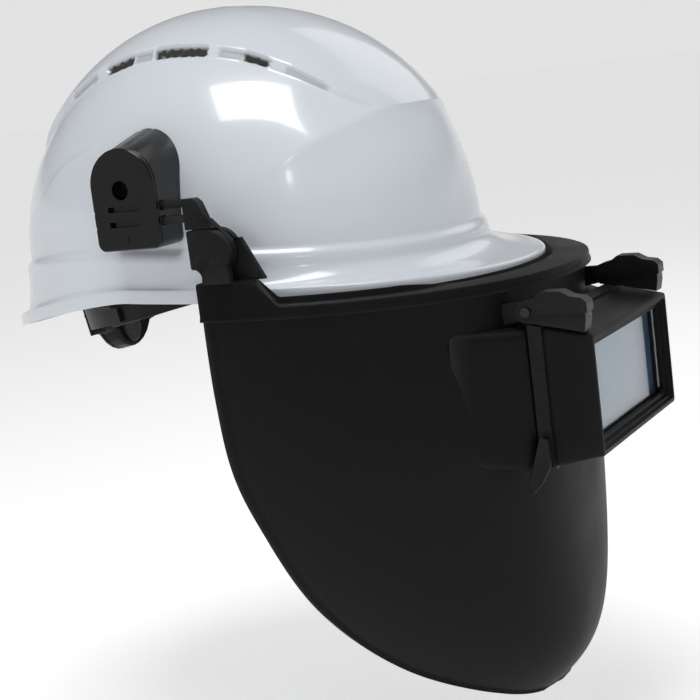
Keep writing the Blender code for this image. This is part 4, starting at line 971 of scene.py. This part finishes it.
def make_adapter_body(label, side):
    """Lines from the seam run in towards a larger tombstone on the shell, and stop just under its surface."""
    outer, inner = tombstone(0.0098, 0.0180, 0.0268, 0.0750), tombstone(0.0035, 0.0198, 0.0262, 0.0840)
    t = np.linspace(0, 1, 200)[:, None]
    forward = outer[:, 0] + (inner[:, 0] - outer[:, 0]) * t
    height = outer[:, 1] + (inner[:, 1] - outer[:, 1]) * t
    across = ADAPTER_SEAM + (0.084 - ADAPTER_SEAM) * t
    reached = across <= crown_side(forward, height) - 0.0010
    stop = t[:, 0][np.argmax(reached, axis=0)]
    rings = []
    ribs = np.zeros(len(outer))
    for place in (18, 23, 27):
        ribs += np.exp(-((np.arange(len(outer)) - place) / 0.7) ** 2)
    for share in np.concatenate([[0.0, 0.012, 0.03, 0.06], np.linspace(0.12, 1.0, 14)]):
        k = stop * share
        flat = outer + (inner - outer) * k[:, None]
        middle = flat.mean(axis=0)
        groove = 0.0004 * ribs * smoothstep(share, 0.05, 0.10)
        seam = 0.0004 * (share < 0.001)
        shrink = 1 - (groove + seam)[:, None] / np.linalg.norm(flat - middle, axis=1, keepdims=True)
        flat = middle + (flat - middle) * shrink
        x = side * (ADAPTER_SEAM + (0.084 - ADAPTER_SEAM) * k)
        rings.append(np.stack([x, -flat[:, 0], flat[:, 1]], axis=-1))
    caps = [np.broadcast_to(r.mean(axis=0), r.shape) for r in (rings[0], rings[-1])]
    body = grid_object(f"adapter_block_{label}", np.stack([caps[0], *rings, caps[1]]), close_columns=True, crease=40)
    cut_piece(body, slots_for(side))
    return stand_for(body, f"adapter_body_{label}")


def cutter_block(name, x, forward, height):
    """A plain box used only to cut an opening."""
    xs, fs, hs = (np.array(pair) for pair in (x, forward, height))
    outline = np.array([(fs[0], hs[0]), (fs[1], hs[0]), (fs[1], hs[1]), (fs[0], hs[1])])
    return extrude_outline(name, outline, xs[0], xs[1], 0.0)


def cut_piece(piece, tools, operation="DIFFERENCE"):
    """Cuts the tools out of the piece with exact Booleans, keeps the result as its mesh, and removes the tools."""
    for tool in tools:
        step = piece.modifiers.new("cut", "BOOLEAN")
        step.operation = operation
        step.object = tool
        step.solver = "EXACT"
    bpy.context.view_layer.update()
    cleaned = bpy.data.meshes.new_from_object(piece.evaluated_get(bpy.context.evaluated_depsgraph_get()))
    piece.modifiers.clear()
    piece.data = cleaned
    for tool in tools:
        bpy.data.objects.remove(tool, do_unlink=True)
    cleaned.shade_smooth()
    cleaned.set_sharp_from_angle(angle=math.radians(35))
    for polygon in cleaned.polygons:
        polygon.use_smooth = polygon.use_smooth and abs(polygon.normal.x) < 0.999


def slots_for(side):
    """The two prong slots, the screw well, and the small catches beside the slots."""
    tools = []
    for n, height in enumerate(PRONG_HEIGHTS):
        tools.append(cutter_block(f"slot_{n}", (side * 0.1216, side * 0.1262), (0.0060, 0.0400),
                                  (height - 0.0023, height + 0.0023)))
        tools.append(cutter_block(f"notch_{n}", (side * 0.1200, side * 0.1300), (-0.0100, -0.0072),
                                  (height - 0.0016, height - 0.0004)))
    well = arc_points(SCREW, 0.0046, 0, 345, 23)
    tools.append(extrude_outline("well", well, side * 0.1120, side * 0.1400, 0.0))
    return tools


def make_adapter_cover(label, side):
    """The outer plate: a round screw hole, two long slots, notches at its rear edge and a shallow moulded mark."""
    face = tombstone(0.0098, 0.0180, 0.0268, 0.0750)
    cover = extrude_outline(f"adapter_face_{label}", face, side * (ADAPTER_SEAM + 0.0001),
                            side * ADAPTER_FACE, 0.0006)
    tools = [extrude_outline("hole", arc_points(SCREW, 0.0046, 0, 345, 23), side * 0.1250, side * 0.1310, 0.0)]
    for n, height in enumerate(PRONG_HEIGHTS):
        tools.append(cutter_block(f"window_{n}", (side * 0.1250, side * 0.1310), (0.0005, 0.0175),
                                  (height - 0.0013, height + 0.0013)))
        tools.append(cutter_block(f"edge_notch_{n}", (side * 0.1250, side * 0.1310), (-0.0100, -0.0074),
                                  (height - 0.0015, height - 0.0003)))
    tools.append(cutter_block("mark", (side * 0.12905, side * 0.1310), (0.0098, 0.0104), (0.0296, 0.0336)))
    cut_piece(cover, tools)
    return stand_for(cover, f"adapter_cover_{label}")


for label, side in SIDES:
    for adapter_piece in (make_adapter_body(label, side), make_adapter_cover(label, side)):
        adapter_piece.data.materials.clear()
        adapter_piece.data.materials.append(ADAPTER_BLACK)

# %% [markdown]
# ## Hardware
# Arms, hinge caps, pins, bolts and the ratchet's moving parts already have their exact shapes in the frame. A copy of
# each gets the small rounded edges that a mould or a lathe leaves, which is what catches the light on a real one.


# %% Rounded copies
def round_copy(node, width, segments=2, angle=32, name=None):
    """A copy of a node: loose triangles merged, flat areas joined, and its sharp edges bevelled."""
    source = frame["nodes"][node]
    bm = bmesh.new()
    bm.from_mesh(source.data)
    bmesh.ops.remove_doubles(bm, verts=bm.verts, dist=2e-6)
    bmesh.ops.dissolve_limit(bm, angle_limit=math.radians(0.6), verts=bm.verts, edges=bm.edges)
    mesh = bpy.data.meshes.new(name or f"{node}_rounded")
    bm.to_mesh(mesh)
    bm.free()
    mesh.shade_smooth()
    mesh.set_sharp_from_angle(angle=math.radians(angle))
    piece = bpy.data.objects.new(name or f"{node}_rounded", mesh)
    bpy.context.scene.collection.objects.link(piece)
    bevel = piece.modifiers.new("soft_edges", "BEVEL")
    bevel.width = width
    bevel.segments = segments
    bevel.limit_method = "ANGLE"
    bevel.angle_limit = math.radians(angle)
    bevel.harden_normals = True
    return stand_for(piece, node)


ROUNDED = {"adjuster_knob": 0.0003, "drive_pinion": 0.0002, "knob_screw": 0.0002, "ratchet_housing": 0.0005,
           "ratchet_cover": 0.0005, "headband": 0.0005, "inner_lens_retainer": 0.0004}
for label, side in SIDES:
    ROUNDED.update({f"pivot_arm_{label}": 0.0005, f"hinge_arm_{label}": 0.0006, f"hinge_pin_{label}": 0.0003,
                    f"pivot_bolt_{label}": 0.0003, f"adapter_screw_{label}": 0.0004, f"adapter_nut_{label}": 0.0003,
                    f"friction_washer_{label}": 0.00015, f"nape_strap_{label}": 0.0002,
                    f"hinge_washer_{label}": 0.0001, f"hanger_front_{label}": 0.0005, f"hanger_rear_{label}": 0.0005})
for node, width in ROUNDED.items():
    rounded = round_copy(node, width)
    if node.startswith(("hinge_pin", "pivot_bolt")):
        rounded.data.materials[0] = BLACKENED
print(len(ROUNDED), "rounded pieces")

# %% [markdown]
# ## Soft pieces of the harness
# The sweatband and nape pad are foam with a cloth face, so they are built as full, rounded strips with a stitched
# seam. The crown straps are flat webbing with thicker edges, which carries its weave on its own map.

# %% Harness frame
BAND_CENTRE, BAND_HEIGHT, BAND_TILT = 0.018, -0.0025, math.radians(-10.9)
BAND_RADIUS, BAND_FRONT = 0.078, 0.114


def settle(points):
    """Tilts points about X and lowers them into the hat."""
    turn = np.array([[1, 0, 0], [0, math.cos(BAND_TILT), -math.sin(BAND_TILT)],
                     [0, math.sin(BAND_TILT), math.cos(BAND_TILT)]])
    return points @ turn.T + np.array([0, BAND_CENTRE, BAND_HEIGHT])


def band_points(angle, radius, height):
    """The harness oval: a circle behind and a longer oval in front, at a radius and a height."""
    length = np.where(np.cos(angle) > 0, BAND_FRONT + radius - BAND_RADIUS, radius)
    return settle(np.stack(np.broadcast_arrays(radius * np.sin(angle), -length * np.cos(angle), height), axis=-1))


def cloth_map(piece, u, v):
    """A UV map called cloth, in metres along and across, for the weave."""
    layer = piece.data.uv_layers.new(name="cloth")
    index = np.empty(len(piece.data.loops), dtype=np.int32)
    piece.data.loops.foreach_get("vertex_index", index)
    points = np.empty(len(piece.data.vertices) * 3)
    piece.data.vertices.foreach_get("co", points)
    points = points.reshape(-1, 3)
    layer.data.foreach_set("uv", np.stack([u(points)[index], v(points)[index]], axis=-1).ravel())


def foam_strip(name, node, start, end, columns, inner, outer, low, high):
    """A padded strip: a squared-oval section swept round the head, thinner at its ends, with two stitch lines."""
    away = np.linspace(-1, 1, columns)
    angle = np.radians((start + end) / 2 + (end - start) / 2 * away)[:, None]
    ends = (1 - np.abs(away) ** 14)[:, None] ** 0.5 * 0.92 + 0.08
    ends[0] = ends[-1] = 0.001
    turn = np.linspace(0, math.tau, 41)[None, :-1]
    bulge, rise = power(np.cos(turn), 0.75), power(np.sin(turn), 0.45)
    middle, half = (inner + outer) / 2, (outer - inner) / 2
    low, high = (np.asarray(v)[:, None] if np.ndim(v) else v for v in (low, high))
    height = (low + high) / 2 + (high - low) / 2 * rise * ends ** 0.4
    stitch = np.exp(-((np.abs(rise) - 0.80) / 0.05) ** 2) * (0.75 + 0.25 * np.cos(np.degrees(angle) * 5.2))
    radius = middle + half * ends * (bulge - 0.30 * stitch * np.sign(bulge) * (bulge < 0))
    strip = grid_object(name, band_points(angle, radius, height), close_columns=True)
    cloth_map(strip, lambda p: np.arctan2(p[:, 0], -p[:, 1]) * BAND_RADIUS, lambda p: p[:, 2])
    stand_for(strip, node)
    return strip


foam_strip("sweat_strip", "sweatband", -62, 62, 150, 0.0736, 0.0775, -0.0148, 0.0138)
PAD_AWAY = np.linspace(-1, 1, 40)
PAD_HALF = 0.0110 * np.sqrt(1 - (PAD_AWAY * 0.97) ** 2)
foam_strip("nape_cushion", "nape_pad", 174, 186, 40, 0.0743, 0.0761, -0.0110 - PAD_HALF, -0.0110 + PAD_HALF)


# %% Crown straps
def make_strap(node, width=0.0190, thickness=0.0012):
    """Webbing that follows its node: the node's middle line is found in slices, and a strip is swept along it."""
    points = np.empty(len(frame["nodes"][node].data.vertices) * 3)
    frame["nodes"][node].data.vertices.foreach_get("co", points)
    points = np.unique(np.round(points.reshape(-1, 3), 6), axis=0)
    centre = points.mean(axis=0) * (1, 1, 0)
    _, _, axes = np.linalg.svd((points - points.mean(axis=0)) * (1, 1, 0), full_matrices=False)
    along = axes[0] * (1, 1, 0)
    along /= np.linalg.norm(along)
    run = (points - centre) @ along
    order = np.argsort(run)
    groups = np.array_split(order, len(order) // 4)
    line = np.array([points[g].mean(axis=0) for g in groups])
    line = spline_through([tuple(p) for p in line], 90)
    tangent = np.gradient(line, axis=0)
    tangent /= np.linalg.norm(tangent, axis=1, keepdims=True)
    across = np.cross(np.array([0, 0, 1.0]), along)
    normal = np.cross(tangent, across)
    normal /= np.linalg.norm(normal, axis=1, keepdims=True)
    turn = np.linspace(0, math.tau, 25)[:-1]
    u, v = power(np.cos(turn), 0.35) * width / 2, power(np.sin(turn), 0.5) * thickness / 2
    v = v * (1 + 0.25 * np.abs(np.cos(turn)) ** 3)
    grid = line[:, None, :] + across * u[None, :, None] + normal[:, None, :] * v[None, :, None]
    caps = [np.broadcast_to(end.mean(axis=0), end.shape)[None] for end in (grid[0], grid[-1])]
    strap = grid_object(f"{node}_webbing", np.concatenate([caps[0], grid, caps[1]]), close_columns=True, crease=60)
    cloth_map(strap, lambda p: (p - centre) @ across, lambda p: (p - centre) @ along)
    return stand_for(strap, node)


for node in ("crown_strap_a", "crown_strap_b"):
    make_strap(node)

# %% Finish for every node that is still its own piece
for node, obj in frame["nodes"].items():
    for slot in obj.material_slots:
        slot.material = FINISH[SLOT_OF[node]]

# %% [markdown]
# ## The room
# A pale floor, a large soft light overhead, a small one at the wearer's right front and a weak one on the far side
# show the gloss on the shell and the grain on the shield. The camera looks down a little from the wearer's right.

# %% Floor, lights and camera
def make_floor():
    """A wide pale floor just under the chin of the shield."""
    reach, level = 40.0, -0.262
    corners = np.array([[-reach, -reach, level], [reach, -reach, level],
                        [reach, reach, level], [-reach, reach, level]])
    floor = mesh_object("floor", corners, np.array([[0, 1, 2, 3]]), fix_normals=False)
    made = new_material("floor_paper", (0.93, 0.93, 0.93), 0.9, Specular_IOR_Level=0.1,
                        Emission_Color=(1.0, 1.0, 1.0, 1.0), Emission_Strength=0.50)[0]
    floor.data.materials.append(made)
    return floor


def add_light(name, place, target, size, watts, colour=(1.0, 1.0, 1.0)):
    """A square area light aimed at a point."""
    data = bpy.data.lights.new(name, "AREA")
    data.shape = "RECTANGLE"
    data.size, data.size_y = size
    data.energy = watts
    data.color = colour
    lamp = bpy.data.objects.new(name, data)
    lamp.location = place
    lamp.rotation_euler = (Vector(target) - Vector(place)).to_track_quat("-Z", "Y").to_euler()
    bpy.context.scene.collection.objects.link(lamp)
    return lamp


make_floor()
HEART = (0.0, -0.02, 0.0)
add_light("overhead", (-0.42, -0.22, 1.30), HEART, (0.75, 0.60), 11.0)
add_light("front_side", (-1.25, -1.05, 0.55), HEART, (0.12, 0.12), 0.5, (0.97, 0.985, 1.0))
add_light("far_side", (1.3, -0.3, 0.9), HEART, (0.9, 0.9), 2.0)


HORIZON, ROOM = 0.765, 0.26      # the world's strength in the band at the horizon, and elsewhere


def make_world():
    """Even soft light from all round, brighter in a narrow band at the horizon so that the floor has no far edge."""
    world = bpy.data.worlds.new("studio")
    bpy.context.scene.world = world
    world.use_nodes = True
    tree = world.node_tree
    height = add_node(tree, "ShaderNodeSeparateXYZ",
                      inputs={"Vector": add_node(tree, "ShaderNodeTexCoord").outputs["Generated"]}).outputs["Z"]
    band = add_node(tree, "ShaderNodeMapRange", clamp=True, inputs={"Value": maths(tree, "ABSOLUTE", height),
                                                                   "From Min": 0.09, "From Max": 0.16,
                                                                   "To Min": HORIZON, "To Max": ROOM})
    tree.links.new(band.outputs["Result"], tree.nodes["Background"].inputs["Strength"])
    tree.nodes["Background"].inputs["Color"].default_value = (1.0, 1.0, 1.0, 1.0)


make_world()

camera = bpy.data.objects.new("camera", bpy.data.cameras.new("camera"))
camera.data.lens = 84.86
camera.data.sensor_width = 36.0
RIGHT, UP, AHEAD = (Vector(v) for v in ((0.45494, -0.88186, -0.12394), (0.19986, -0.03452, 0.97922),
                                        (0.86781, 0.47025, -0.16054)))
camera.matrix_world = Matrix.Translation((-0.7675, -0.466, 0.093)) @ Matrix((RIGHT, UP, -AHEAD)).transposed().to_4x4()
bpy.context.scene.collection.objects.link(camera)
bpy.context.scene.camera = camera
bpy.context.scene.view_settings.view_transform = "Standard"
